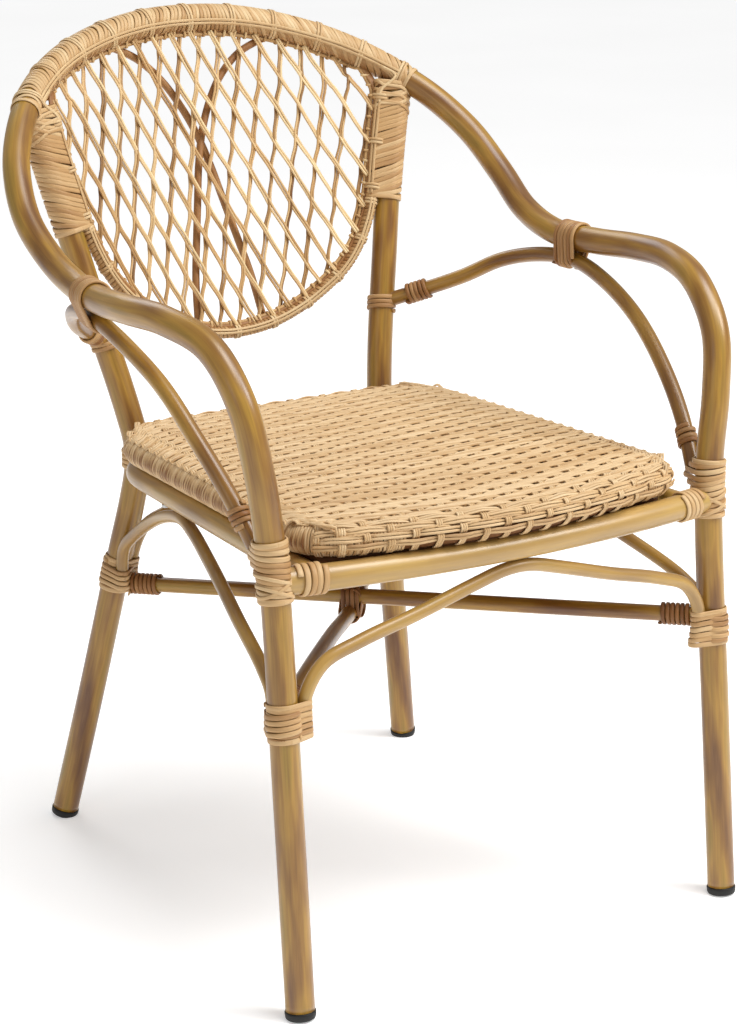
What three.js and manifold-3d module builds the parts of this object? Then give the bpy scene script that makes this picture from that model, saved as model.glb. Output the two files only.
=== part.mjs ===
// Bistro armchair: bent tube frame, lashed joints, open lattice back and woven seat panel.
// Millimetres, +Z up, floor at z = 0. The sitter faces -Y, so left is +X and right is -X.
// Depths are measured from the axis of the front feet, and the whole chair is centred at the end.

import * as THREE from 'three';
import { mergeVertices } from 'three/addons/utils/BufferGeometryUtils.js';
import Module from 'manifold-3d';

const wasm = await Module();
wasm.setup();

// Overall places of the frame's tube axes
const armHalfWidth = 289;
const frameDepth = 635;
const armHeight = 620;
const hoopRise = 210;
const seatRailHeight = 403;
const stretcherFrontHeight = 286;
const stretcherRearHeight = 266;
const postKneeHalfWidth = 150;
const postKneeDepth = 483;
const rearFootHalfWidth = 220;
const rearFootDepth = 539;

// Heights on the back, as shares of the hoop's rise above the arms
const postTopShare = 0.69;
const hoopLashShare = 0.652;
const ringLeaveShare = 0.114;
const postLashShare = 0.057;

// Tube radii
const mainRadius = 14;
const railRadius = 12.5;
const braceRadius = 8;
const stretcherRadius = 8;
const archRadius = 6.5;
const ringRadius = 5.5;
const caneRadius = 4.2;

// Fits and lashings
const clearance = 0.3;
const sideGap = 0.4;
const lashThickness = 3;
const ringLashThickness = 2.4;
const strandRadius = 2.1;
const strandGap = 0.7;
const strandSlack = 0.6;
const weldTolerance = 1e-4;

// Where the lashings sit
const armLashTurns = 6;
const armLashSetback = 6;
const braceLashTurns = 5;
const braceLashStart = 30;
const postBandHeight = 524;
const postBandLength = 20;
const jointLashBelow = 17;
const jointLashAbove = 19;
const braceBandLength = 24;
const railLashStart = 25;
const railLashLength = 23;
const legLashBottom = 260;
const legLashTop = 295;
const stretcherLashTurns = 4;
const stretcherLashStart = 31;
const crossingLashLength = 26;
const kneeLashLength = 18;

// Seat rails
const frontRailBow = 25;
const sideRailInset = 36;
const sideRailRearHalfWidth = 183;
const rearRailOffset = 22;
const rearRailBend = 60;

// Arm braces
const braceRearHeight = 525;
const braceCrestDepth = 308;
const braceCrestInset = 4;
const braceEndRise = 21;

// Arched braces under the seat
const archEndHeight = 264;
const sideArchBow = 12;

// Back ring, lattice and canes
const ringBottomDepth = 534;
const ringBottomHeight = 508;
const latticeThickness = 3;
const latticeStrandWidth = 4;
const latticeCellWidth = 24;
const latticeCellHeight = 64;
const latticeLeanShare = -0.1;
const caneSetback = 9;
const caneTopHalfWidth = 100;
const caneFootHalfWidth = 40;

// Seat panel
const seatFrontHalfWidth = 217;
const seatRearHalfWidth = 200;
const seatFrontDepth = 1;
const seatFrontBow = 24;
const seatRearSetback = 17;
const seatFrontCorner = 60;
const seatRearCorner = 72;
const seatThickness = 29;
const seatCrown = 8;
const seatDrawIn = 12;

// Foot caps
const capHeight = 8;
const capRadius = 14.6;
const capRim = 2;
const plugRadius = 7;
const plugLength = 20;
const plugTaper = 1;

// Seat fixing screws
const screwRadius = 2.5;
const screwHeadRadius = 5;
const screwHeadHeight = 2.6;
const screwGrip = 12;
const screwDepths = [130, 350];

// Finishes
const paint = { color: 0xa9803f, roughness: 0.42, metalness: 0 };
const cane = { color: 0xd9b377, roughness: 0.55, metalness: 0 };
const darkCane = { color: 0x8a5a30, roughness: 0.55, metalness: 0 };
const weave = { color: 0xe0bd85, roughness: 0.6, metalness: 0 };
const rubber = { color: 0x1c1b1a, roughness: 0.7, metalness: 0 };
const steel = { color: 0x8d8f92, roughness: 0.35, metalness: 1 };

const chair = new THREE.Group();

// Heights on the back and at the front joint

const hoopHeight = armHeight + hoopRise;
const braceEndHeight = seatRailHeight + braceEndRise;
const jointLashBottom = seatRailHeight - jointLashBelow;
const jointLashTop = braceEndHeight + jointLashAbove;

function backHeight(riseShare) {
  return armHeight + riseShare * hoopRise;
}

const postTopHeight = backHeight(postTopShare);
const hoopLashHeight = backHeight(hoopLashShare);
const ringLeaveHeight = backHeight(ringLeaveShare);
const postLashHeight = backHeight(postLashShare);

// Points and routes

function point(x, y, z) {
  return new THREE.Vector3(x, y, z);
}

function mirrorPoint(p) {
  return point(-p.x, p.y, p.z);
}

function between(a, b, xShare, yShare, zShare) {
  return point(
    THREE.MathUtils.lerp(a.x, b.x, xShare),
    THREE.MathUtils.lerp(a.y, b.y, yShare),
    THREE.MathUtils.lerp(a.z, b.z, zShare),
  );
}

// A tube's axis as straight steps between stations, which every fitted piece shares
class Route extends THREE.Curve {
  constructor(stations) {
    super();
    this.stations = stations;
    this.steps = stations.length - 1;
    this.lengths = [0];
    this.directions = [];
    for (let i = 0; i < this.steps; i++) {
      const step = stations[i + 1].clone().sub(stations[i]);
      this.lengths.push(this.lengths[i] + step.length());
      this.directions.push(step.normalize());
    }
    this.total = this.lengths[this.steps];
  }

  reversed() {
    return new Route([...this.stations].reverse());
  }

  static through(points, stepsPerSpan) {
    const spline = new THREE.CatmullRomCurve3(points, false, 'centripetal');
    return new Route(spline.getPoints((points.length - 1) * stepsPerSpan));
  }

  getPoint(t, target = new THREE.Vector3()) {
    const place = t * this.steps;
    const i = Math.min(Math.floor(place), this.steps - 1);
    return target.copy(this.stations[i]).lerp(this.stations[i + 1], place - i);
  }

  getPointAt(u, target) {
    return this.getPoint(u, target);
  }

  getTangentAt(u, target = new THREE.Vector3()) {
    const place = u * this.steps;
    const i = Math.round(place);
    const before = this.directions[Math.max(i - 1, 0)];
    const after = this.directions[Math.min(i, this.steps - 1)];
    return target.copy(before).add(after).normalize();
  }

  spanAt(length) {
    const i = this.lengths.findIndex((reached) => reached > length);
    return i < 0 ? this.steps - 1 : Math.max(i - 1, 0);
  }

  at(length) {
    const i = this.spanAt(length);
    return this.stations[i].clone().addScaledVector(this.directions[i], length - this.lengths[i]);
  }

  directionAt(length) {
    return this.directions[this.spanAt(length)].clone();
  }

  // Length along the route of the first crossing of a level on one axis
  lengthWhere(axis, level) {
    for (let i = 0; i < this.steps; i++) {
      const a = this.stations[i][axis];
      const b = this.stations[i + 1][axis];
      if ((a - level) * (b - level) <= 0 && a !== b) {
        return this.lengths[i] + (this.lengths[i + 1] - this.lengths[i]) * ((level - a) / (b - a));
      }
    }
    throw new Error('the route does not reach ' + axis + ' ' + level);
  }

  pointWhere(axis, level) {
    return this.at(this.lengthWhere(axis, level));
  }

  part(from, to) {
    const inside = this.stations.filter((p, i) => this.lengths[i] > from && this.lengths[i] < to);
    return new Route([this.at(from), ...inside, this.at(to)]);
  }

  nearest(p) {
    const best = point(0, 0, 0);
    let least = Infinity;
    for (let i = 0; i < this.steps; i++) {
      const line = new THREE.Line3(this.stations[i], this.stations[i + 1]);
      const foot = line.closestPointToPoint(p, true, point(0, 0, 0));
      const distance = foot.distanceTo(p);
      if (distance < least) {
        least = distance;
        best.copy(foot);
      }
    }
    return best;
  }
}

// Geometry and solids

function tube(route, radius, sides) {
  const section = new THREE.Shape().absarc(0, 0, radius, 0, Math.PI * 2);
  return new THREE.ExtrudeGeometry(section, {
    steps: route.steps,
    curveSegments: sides / 2,
    extrudePath: route,
    bevelEnabled: false,
  });
}

function toSolid(geometry) {
  const bare = geometry.clone();
  bare.deleteAttribute('normal');
  bare.deleteAttribute('uv');
  const merged = mergeVertices(bare, weldTolerance);
  return new wasm.Manifold(new wasm.Mesh({
    numProp: 3,
    vertProperties: merged.attributes.position.array,
    triVerts: Uint32Array.from(merged.index.array),
  }));
}

function toGeometry(solid) {
  const mesh = solid.getMesh();
  const geometry = new THREE.BufferGeometry();
  geometry.setAttribute('position', new THREE.Float32BufferAttribute(mesh.vertProperties, 3));
  geometry.setIndex(new THREE.BufferAttribute(mesh.triVerts, 1));
  geometry.computeVertexNormals();
  return geometry;
}

function joinSolids(solids) {
  return solids.reduce((whole, solid) => whole.add(solid));
}

// Cuts room for the neighbours, and keeps the largest piece where a cut leaves an offcut
function cutSolids(solid, cutters) {
  const rest = cutters.reduce((whole, cutter) => whole.subtract(cutter), solid);
  return rest.decompose().reduce((a, b) => (a.volume() >= b.volume() ? a : b));
}

function mirrored(geometry) {
  const copy = mergeVertices(geometry.clone(), weldTolerance);
  copy.scale(-1, 1, 1);
  const index = copy.index.array;
  for (let i = 0; i < index.length; i += 3) {
    [index[i], index[i + 1]] = [index[i + 1], index[i]];
  }
  copy.computeVertexNormals();
  return copy;
}

// Mirror image of a solid, for pieces and rooms of the right side
function mirrorSolid(solid) {
  return toSolid(mirrored(toGeometry(solid)));
}

function bothSides(solid) {
  return [solid, mirrorSolid(solid)];
}

function addPiece(name, geometry, finish) {
  const mesh = new THREE.Mesh(geometry, new THREE.MeshStandardMaterial(finish));
  mesh.name = name;
  chair.add(mesh);
  return mesh;
}

// Adds the left piece, at +X, and its mirror image at -X
function addPair(name, geometry, finish) {
  addPiece(name + '_left', geometry, finish);
  addPiece(name + '_right', mirrored(geometry), finish);
}

function tubeSolid(route, radius, sides) {
  return toSolid(tube(route, radius, sides));
}

// A tube member: its axis, its radius, and the solids that leave room around it
class Member {
  constructor(route, radius, sides) {
    this.route = route;
    this.radius = radius;
    this.sides = sides;
    this.room = tubeSolid(route, radius + clearance, sides);
  }

  solid() {
    return tubeSolid(this.route, this.radius, this.sides);
  }

  mirror() {
    return new Member(new Route(this.route.stations.map(mirrorPoint)), this.radius, this.sides);
  }

  // A plain lashing round a stretch of the member, before room is cut for what it holds
  band(from, to, thickness = lashThickness) {
    return tubeSolid(this.route.part(from, to), this.radius + thickness, this.sides);
  }
}

// A plain lashing over stretches of one or more members, and the room to leave round it
class Lashing {
  constructor(stretches, cutters = []) {
    const bands = stretches.map(({ member, from, to, thickness }) => (
      member.band(from, to, thickness)
    ));
    const rooms = stretches.map(({ member, from, to, thickness = lashThickness }) => (
      member.band(from - clearance, to + clearance, thickness + clearance)
    ));
    this.room = joinSolids(rooms);
    this.solid = cutSolids(joinSolids(bands), [
      ...stretches.map(({ member }) => member.room),
      ...cutters,
    ]);
  }
}

// Feet: a leg's tube starts on top of its cap

function footed(points) {
  const up = points[1].clone().sub(points[0]).normalize();
  const start = points[0].clone().addScaledVector(up, capHeight + clearance);
  return [start, ...points.slice(1)];
}

// Main tube: front leg, arm and hoop in one bend, shares of armHalfWidth, frameDepth, armHeight
const legAndArmShares = [
  [0.858, 0, 0],
  [0.854, 0.032, 0.32],
  [0.851, 0.063, 0.623],
  [0.862, 0.071, 0.719],
  [0.888, 0.077, 0.815],
  [0.917, 0.099, 0.908],
  [0.943, 0.162, 0.976],
  [0.983, 0.252, 1],
  [1, 0.345, 1],
  [0.986, 0.439, 0.995],
  [0.964, 0.534, 0.997],
];

// From the arm to the crown of the hoop, heights as shares of the rise above the arm
const hoopShares = [
  [0.965, 0.624, 0.071],
  [0.972, 0.702, 0.229],
  [0.934, 0.77, 0.419],
  [0.848, 0.835, 0.59],
  [0.727, 0.896, 0.729],
  [0.571, 0.945, 0.848],
  [0.388, 0.978, 0.933],
  [0.19, 0.995, 0.986],
  [0, 1, 1],
];

function mainPoint([xShare, yShare, zShare], base, rise) {
  return point(xShare * armHalfWidth, yShare * frameDepth, base + zShare * rise);
}

const leftMainPoints = footed([
  ...legAndArmShares.map((share) => mainPoint(share, 0, armHeight)),
  ...hoopShares.map((share) => mainPoint(share, armHeight, hoopHeight - armHeight)),
]);
const mainPoints = [...leftMainPoints, ...leftMainPoints.slice(0, -1).reverse().map(mirrorPoint)];
const mainSteps = 1;
const mainSides = 8;
const mainTube = new Member(Route.through(mainPoints, mainSteps), mainRadius, mainSides);

// Rear legs: splayed below the seat, bent at the knee, leaning back up to the hoop

const postKnee = point(postKneeHalfWidth, postKneeDepth, seatRailHeight);
const rearFoot = point(rearFootHalfWidth, rearFootDepth, 0);
const postTop = mainTube.route.pointWhere('z', postTopHeight);

// Shares of the way from the knee down to the foot, and from the knee up to the hoop
const lowerPostShares = [
  [1, 1, 1],
  [0.6, 0.57, 0.62],
  [0.221, 0.195, 0.256],
  [0.071, 0.035, 0.114],
  [0, -0.027, 0.027],
];
const upperPostShares = [
  [0, 0, 0.047],
  [0.049, 0.08, 0.116],
  [0.14, 0.2, 0.213],
  [0.254, 0.33, 0.318],
  [0.423, 0.5, 0.475],
  [0.592, 0.68, 0.633],
  [0.775, 0.84, 0.79],
  [0.9, 0.93, 0.895],
  [1, 1, 1],
];
const rearSteps = 1;
const rearLeg = new Member(Route.through(footed([
  ...lowerPostShares.map((share) => between(postKnee, rearFoot, ...share)),
  ...upperPostShares.map((share) => between(postKnee, postTop, ...share)),
]), rearSteps), mainRadius, mainSides);
const rightRearLeg = rearLeg.mirror();

// Seat rails: a bowed front rail between the legs, and one bent rail round the sides and rear

const legAtSeat = mainTube.route.pointWhere('z', seatRailHeight);
const frontRailShares = [1, 0.75, 0.5, 0.25, 0, -0.25, -0.5, -0.75, -1];
const frontRail = new Member(Route.through(frontRailShares.map((share) => point(
  share * legAtSeat.x,
  legAtSeat.y - frontRailBow * (1 - share * share),
  seatRailHeight,
)), 1), railRadius, mainSides);

const rearRailDepth = postKneeDepth - rearRailOffset;
const seatRearDepth = postKneeDepth - seatRearSetback;
const bendCentre = point(sideRailRearHalfWidth - rearRailBend, rearRailDepth - rearRailBend, 0);
const sideRailFront = frontRail.route.pointWhere('x', legAtSeat.x - sideRailInset);
const bendShares = [0, 0.25, 0.5, 0.75, 1];
const leftRailPoints = [
  sideRailFront,
  ...bendShares.map((share) => point(
    bendCentre.x + rearRailBend * Math.cos(share * Math.PI / 2),
    bendCentre.y + rearRailBend * Math.sin(share * Math.PI / 2),
    seatRailHeight,
  )),
  point(0, rearRailDepth, seatRailHeight),
];
const sideRail = new Member(Route.through([
  ...leftRailPoints,
  ...leftRailPoints.slice(0, -1).reverse().map(mirrorPoint),
], 1), railRadius, mainSides);

// Arm braces: from the rear post, up under the arm, and down the back of the front leg

const armAtCrest = mainTube.route.pointWhere('y', braceCrestDepth);
const braceRear = rearLeg.route.pointWhere('z', braceRearHeight);
const braceCrest = armAtCrest.clone().add(
  point(-braceCrestInset, 0, -mainRadius - braceRadius - sideGap),
);
const legAtBraceEnd = mainTube.route.pointWhere('z', braceEndHeight);
const braceEnd = legAtBraceEnd.clone().add(point(0, mainRadius + braceRadius + sideGap, 0));
const braceRearShares = [
  [0, 0, 0],
  [0.561, 0.315, 0.468],
  [0.79, 0.52, 0.805],
  [0.93, 0.763, 0.98],
];
const braceFrontShares = [
  [0, 0, 0],
  [0.01, 0.226, 0.081],
  [0.177, 0.477, 0.243],
  [0.374, 0.684, 0.47],
  [0.66, 0.86, 0.72],
  [1, 1, 1],
];
const braceSides = 8;
const archSides = 6;
const armBrace = new Member(Route.through([
  ...braceRearShares.map((share) => between(braceRear, braceCrest, ...share)),
  ...braceFrontShares.map((share) => between(braceCrest, braceEnd, ...share)),
], 2), braceRadius, braceSides);

// Arched braces: each rises from beside one leg to the underside of a rail and down again

const archApexHeight = seatRailHeight - railRadius - archRadius - sideGap;
const archBeside = mainRadius + archRadius + sideGap;

// Half of an arch between two legs: shares of the way from its apex out to the leg
const crossArchShares = [
  [1, 1, 1],
  [1, 0.85, 0.72],
  [0.92, 0.7, 0.48],
  [0.757, 0.5, 0.36],
  [0.49, 0.3, 0.23],
  [0.23, 0.15, 0.09],
  [0.08, 0.05, 0.015],
  [0, 0, 0],
];

function crossArch(legAxis, railAxis) {
  const end = legAxis.clone().add(point(-archBeside, 0, 0));
  const apex = point(0, railAxis.y, archApexHeight);
  const half = crossArchShares.map((share) => between(apex, end, ...share));
  const points = [...half, ...half.slice(0, -1).reverse().map(mirrorPoint)];
  return new Member(Route.through(points, 1), archRadius, archSides);
}

const frontLegAtArch = mainTube.route.pointWhere('z', archEndHeight);
const rearLegAtArch = rearLeg.route.pointWhere('z', archEndHeight);
const frontArch = crossArch(frontLegAtArch, point(0, legAtSeat.y - frontRailBow, 0));
const rearArch = crossArch(rearLegAtArch, point(0, rearRailDepth, 0));

// Side arch: the way along it, its rise, and its bow towards the middle of the chair
const sideArchShares = [
  [0, 0, 0],
  [0, 0.28, 0],
  [0.05, 0.42, 0],
  [0.209, 0.63, 0.15],
  [0.34, 0.77, 0.5],
  [0.456, 0.87, 0.85],
  [0.551, 0.96, 1],
  [0.62, 1, 1],
  [0.726, 0.92, 1],
  [0.833, 0.77, 0.95],
  [0.923, 0.58, 0.5],
  [0.985, 0.4, 0.1],
  [1, 0.25, 0],
  [1, 0, 0],
];
const sideArchFront = frontLegAtArch.clone().add(point(0, archBeside, 0));
const sideArchRear = rearLegAtArch.clone().add(point(0, -archBeside, 0));
const sideArch = new Member(Route.through(sideArchShares.map(([way, rise, bow]) => {
  const p = between(sideArchFront, sideArchRear, way, way, way);
  p.x -= bow * sideArchBow;
  p.z = THREE.MathUtils.lerp(archEndHeight, archApexHeight, rise);
  return p;
}), 1), archRadius, archSides);

// Crossed stretchers: both run from a front leg to the far rear leg, one bent to pass below

const frontLegAtStretcher = mainTube.route.pointWhere('z', stretcherFrontHeight);
const rearLegAtStretcher = rearLeg.route.pointWhere('z', stretcherRearHeight);
const upperStretcher = new Member(
  new Route([frontLegAtStretcher, mirrorPoint(rearLegAtStretcher)]),
  stretcherRadius, braceSides,
);
const crossing = upperStretcher.route.pointWhere('x', 0);
const dipShares = [0, 0.35, 0.7, 1];
const dip = 2 * stretcherRadius + sideGap;

function dippedHalf(end) {
  return dipShares.map((share) => {
    const p = between(end, crossing, share, share, share);
    p.z -= dip * share * share;
    return p;
  });
}

const lowerStretcher = new Member(Route.through([
  ...dippedHalf(mirrorPoint(frontLegAtStretcher)),
  ...dippedHalf(rearLegAtStretcher).slice(0, -1).reverse(),
], 1), stretcherRadius, braceSides);

// Back panel: a hollow surface through the ring's bottom, the crown and the rear posts

const crown = point(0, frameDepth, hoopHeight);
const panelSlope = (crown.y - ringBottomDepth) / (crown.z - ringBottomHeight);
const ringBeside = mainRadius + ringRadius + sideGap;
const ringLeave = rearLeg.route.pointWhere('z', ringLeaveHeight).add(point(-ringBeside, 0, 0));
const straightDepth = ringBottomDepth + panelSlope * (ringLeaveHeight - ringBottomHeight);
const panelHollow = (straightDepth - ringLeave.y) / (ringLeave.x * ringLeave.x);

function panelDepth(x, z) {
  return ringBottomDepth + panelSlope * (z - ringBottomHeight) - panelHollow * x * x;
}

// Ring: down beside the posts, then round the bottom, shares of the ring's width and drop
const ringPostShares = [0.96, 0.75, 0.5, 0.25, 0];
const ringBottomShares = [
  [0.947, 0.794],
  [0.87, 0.596],
  [0.765, 0.419],
  [0.624, 0.272],
  [0.465, 0.147],
  [0.25, 0.04],
  [0, 0],
];
const leftRingPoints = [
  ...ringPostShares.map((share) => {
    const height = THREE.MathUtils.lerp(ringLeaveHeight, postTopHeight, share);
    return rearLeg.route.pointWhere('z', height).add(point(-ringBeside, 0, 0));
  }),
  ...ringBottomShares.map(([xShare, zShare]) => {
    const x = xShare * ringLeave.x;
    const z = THREE.MathUtils.lerp(ringBottomHeight, ringLeaveHeight, zShare);
    return point(x, panelDepth(x, z), z);
  }),
];
const ringSides = 6;
const backRing = new Member(Route.through([
  ...leftRingPoints,
  ...leftRingPoints.slice(0, -1).reverse().map(mirrorPoint),
], 1), ringRadius, ringSides);

// Lattice: a net of diamond gaps inside the hoop and ring, laid on the hollow surface

function insetPoints(axisPoints, inset) {
  return axisPoints.map((p, i) => {
    const before = axisPoints[Math.max(i - 1, 0)];
    const after = axisPoints[Math.min(i + 1, axisPoints.length - 1)];
    const along = new THREE.Vector2(after.x - before.x, after.z - before.z).normalize();
    return new THREE.Vector2(p.x + along.y * inset, p.z - along.x * inset);
  });
}

// Outline, anticlockwise seen with +Z up, from the left end of the ring's inner edge
const netHoopLimit = backRing.route.stations[0].x;
const hoopAxis = mainTube.route.stations.filter(
  (p) => p.z > armHeight && Math.abs(p.x) < netHoopLimit && p.y > ringBottomDepth,
);
const ringAxis = backRing.route.stations.filter((p) => p.z < postTopHeight - mainRadius);
const outline = [
  ...insetPoints([...ringAxis].reverse(), -ringRadius),
  ...insetPoints(hoopAxis, -mainRadius),
];
const latticeEdgeWidth = lashThickness + latticeStrandWidth;

function clipByHalfPlane(polygon, a, b) {
  const side = (p) => (b.x - a.x) * (p.y - a.y) - (b.y - a.y) * (p.x - a.x);
  const kept = [];
  polygon.forEach((p, i) => {
    const q = polygon[(i + 1) % polygon.length];
    const sp = side(p);
    const sq = side(q);
    if (sp >= 0) {
      kept.push(p);
    }
    if (sp * sq < 0) {
      kept.push(p.clone().lerp(q, sp / (sp - sq)));
    }
  });
  return kept;
}

function netHoles() {
  const inner = outline.map((p, i) => {
    const before = outline[(i + outline.length - 1) % outline.length];
    const after = outline[(i + 1) % outline.length];
    const along = after.clone().sub(before).normalize();
    return new THREE.Vector2(p.x - along.y * latticeEdgeWidth, p.y + along.x * latticeEdgeWidth);
  });
  const slant = Math.hypot(latticeCellWidth, latticeCellHeight);
  const halfWide = latticeCellWidth / 2 - latticeStrandWidth * slant / latticeCellHeight / 2;
  const halfHigh = latticeCellHeight / 2 - latticeStrandWidth * slant / latticeCellWidth / 2;
  const smallestHole = latticeStrandWidth * latticeCellWidth / 2;
  const columns = Math.ceil(armHalfWidth / latticeCellWidth);
  const rows = Math.ceil((hoopHeight - ringBottomHeight) / latticeCellHeight);
  const leanAcross = (z) => latticeLeanShare * (z - (ringBottomHeight + hoopHeight) / 2);
  const corner = (x, z) => new THREE.Vector2(x + leanAcross(z), z);
  const holes = [];
  for (let column = -2 * columns; column <= 2 * columns; column++) {
    for (let row = 0; row <= 2 * rows; row++) {
      if ((column + row) % 2 !== 0) {
        continue;
      }
      const x = column * latticeCellWidth / 2;
      const z = ringBottomHeight + row * latticeCellHeight / 2;
      let hole = [
        corner(x + halfWide, z),
        corner(x, z + halfHigh),
        corner(x - halfWide, z),
        corner(x, z - halfHigh),
      ];
      for (let i = 0; i < inner.length && hole.length > 2; i++) {
        hole = clipByHalfPlane(hole, inner[i], inner[(i + 1) % inner.length]);
      }
      if (hole.length > 2 && THREE.ShapeUtils.area(hole) > smallestHole) {
        holes.push(hole);
      }
    }
  }
  return holes;
}

function latticeGeometry() {
  const net = new THREE.Shape(outline);
  net.holes = netHoles().map((hole) => new THREE.Path([...hole].reverse()));
  console.log('lattice gaps', net.holes.length);
  const geometry = new THREE.ExtrudeGeometry(net, { depth: latticeThickness, bevelEnabled: false });
  const place = geometry.attributes.position;
  for (let i = 0; i < place.count; i++) {
    const x = place.getX(i);
    const z = place.getY(i);
    place.setXYZ(i, x, panelDepth(x, z) + latticeThickness / 2 - place.getZ(i), z);
  }
  return geometry;
}

// Two long canes cross behind the lattice, from high on one side to low on the other
const caneShares = [
  [1, 1],
  [0.62, 0.94],
  [0.36, 0.86],
  [0.18, 0.77],
  [0.04, 0.67],
  [-0.18, 0.55],
  [-0.4, 0.42],
  [-0.62, 0.29],
  [-0.85, 0.15],
  [-1, 0],
];

function caneRoute(setback) {
  const top = hoopHeight - mainRadius - lashThickness - caneRadius;
  const foot = ringBottomHeight + ringRadius + ringLashThickness + caneRadius;
  return Route.through(caneShares.map(([xShare, zShare]) => {
    const x = xShare * (xShare > 0 ? caneTopHalfWidth : caneFootHalfWidth);
    const z = THREE.MathUtils.lerp(foot, top, zShare);
    return point(x, panelDepth(x, z) + setback, z);
  }), 1);
}

// Seat panel: a crowned pad with drawn-in sides, lofted through rings of one outline

function seatOutline() {
  const frontCorner = point(seatFrontHalfWidth - seatFrontCorner, seatFrontDepth + seatFrontBow
    + seatFrontCorner, 0);
  const rearCorner = point(seatRearHalfWidth - seatRearCorner, seatRearDepth - seatRearCorner, 0);
  const arcShares = [0, 0.25, 0.5, 0.75, 1];
  const half = [point(0, seatFrontDepth, 0)];
  const frontShares = [0.35, 0.7];
  for (const share of frontShares) {
    half.push(point(share * frontCorner.x, seatFrontDepth + seatFrontBow * share * share, 0));
  }
  for (const share of arcShares) {
    const turn = (share - 1) * Math.PI / 2;
    half.push(point(
      frontCorner.x + seatFrontCorner * Math.cos(turn),
      frontCorner.y + seatFrontCorner * Math.sin(turn),
      0,
    ));
  }
  const sideShares = [0.25, 0.5, 0.75];
  for (const share of sideShares) {
    half.push(point(
      THREE.MathUtils.lerp(seatFrontHalfWidth, seatRearHalfWidth, share),
      THREE.MathUtils.lerp(frontCorner.y, rearCorner.y, share),
      0,
    ));
  }
  for (const share of arcShares) {
    const turn = share * Math.PI / 2;
    half.push(point(
      rearCorner.x + seatRearCorner * Math.cos(turn),
      rearCorner.y + seatRearCorner * Math.sin(turn),
      0,
    ));
  }
  half.push(point(0, seatRearDepth, 0));
  return [...half, ...half.slice(1, -1).reverse().map(mirrorPoint)];
}

// Rings of the loft: inset as a share of seatDrawIn, height as a share of seatThickness
const seatSideShares = [
  [1, 0],
  [0.35, 0.16],
  [0, 0.45],
  [0.2, 0.75],
  [0.9, 0.96],
];
const seatTopShares = [
  [3, 1],
  [7, 1],
  [12, 1],
];

function seatGeometry() {
  const edge = seatOutline();
  const centre = point(0, (seatFrontDepth + seatRearDepth) / 2, 0);
  const bottom = seatRailHeight + railRadius + clearance;
  const ring = ([insetShare, heightShare], crown) => edge.map((p) => {
    const reach = p.clone().sub(centre);
    const shrink = 1 - insetShare * seatDrawIn / reach.length();
    return point(
      centre.x + reach.x * shrink,
      centre.y + reach.y * shrink,
      bottom + heightShare * seatThickness + crown * (1 - shrink * shrink),
    );
  });
  const rings = [
    ...seatSideShares.map((shares) => ring(shares, 0)),
    ...seatTopShares.map((shares) => ring(shares, seatCrown)),
  ];
  const vertices = rings.flat();
  const count = edge.length;
  const faces = [];
  for (let level = 0; level < rings.length - 1; level++) {
    for (let i = 0; i < count; i++) {
      const a = level * count + i;
      const b = level * count + (i + 1) % count;
      faces.push(a, b, b + count, a, b + count, a + count);
    }
  }
  const under = vertices.push(point(centre.x, centre.y, bottom)) - 1;
  const over = vertices.push(point(centre.x, centre.y, bottom + seatThickness + seatCrown)) - 1;
  const last = (rings.length - 1) * count;
  for (let i = 0; i < count; i++) {
    const next = (i + 1) % count;
    faces.push(under, next, i);
    faces.push(over, last + i, last + next);
  }
  const geometry = new THREE.BufferGeometry().setFromPoints(vertices);
  geometry.setIndex(faces);
  geometry.computeVertexNormals();
  return geometry;
}

// Windings: one strand round one or more members, measured against itself

const windingSteps = 8;
const windingSides = 5;
const strandPitch = 2 * strandRadius + strandGap;

function windingRoute(axis, from, turns, members) {
  const tangent = axis.directionAt(from + turns * strandPitch / 2);
  const across = point(0, 0, 0).crossVectors(tangent, members.length > 1
    ? members[1].route.nearest(axis.at(from)).sub(axis.at(from))
    : point(1, 0, 0)).normalize();
  const other = point(0, 0, 0).crossVectors(tangent, across).normalize();
  const stretch = 1 / Math.cos(Math.PI / windingSteps);
  const points = [];
  for (let i = 0; i <= turns * windingSteps; i++) {
    const turn = 2 * Math.PI * i / windingSteps;
    const middle = axis.at(from + strandPitch * i / windingSteps);
    const outward = across.clone().multiplyScalar(Math.cos(turn))
      .addScaledVector(other, Math.sin(turn));
    let best = null;
    let reach = -Infinity;
    for (const member of members) {
      const offset = member.route.nearest(middle).sub(middle);
      offset.addScaledVector(tangent, -offset.dot(tangent));
      const slack = member === members[0] ? 0 : strandSlack;
      const radius = (member.radius + clearance + slack + strandRadius) * stretch;
      const support = offset.dot(outward) + radius;
      if (support > reach) {
        reach = support;
        best = middle.clone().add(offset).addScaledVector(outward, radius);
      }
    }
    points.push(best);
  }
  return straightEnded(points);
}

// Both ends run straight for one strand diameter
function straightEnded(points) {
  const reach = 2 * strandRadius;
  const first = points[0].clone().sub(points[1]).setLength(reach).add(points[0]);
  const last = points[points.length - 1];
  const end = last.clone().sub(points[points.length - 2]).setLength(reach).add(last);
  return new Route([first, ...points, end]);
}

function leastGap(route) {
  let least = Infinity;
  const apart = Math.ceil(windingSteps / 2);
  for (let i = 0; i < route.stations.length; i++) {
    for (let j = i + apart; j < route.steps; j++) {
      const line = new THREE.Line3(route.stations[j], route.stations[j + 1]);
      const near = line.closestPointToPoint(route.stations[i], true, point(0, 0, 0));
      least = Math.min(least, near.distanceTo(route.stations[i]));
    }
  }
  return least - 2 * strandRadius;
}

function winding(name, axis, from, turns, members) {
  const route = windingRoute(axis, from, turns, members);
  console.log(name, 'least gap to itself', leastGap(route).toFixed(2));
  return tube(route, strandRadius, windingSides);
}

// Foot caps: a domed rim under the tube, a plug inside it, and a flat bottom on the floor

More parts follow.
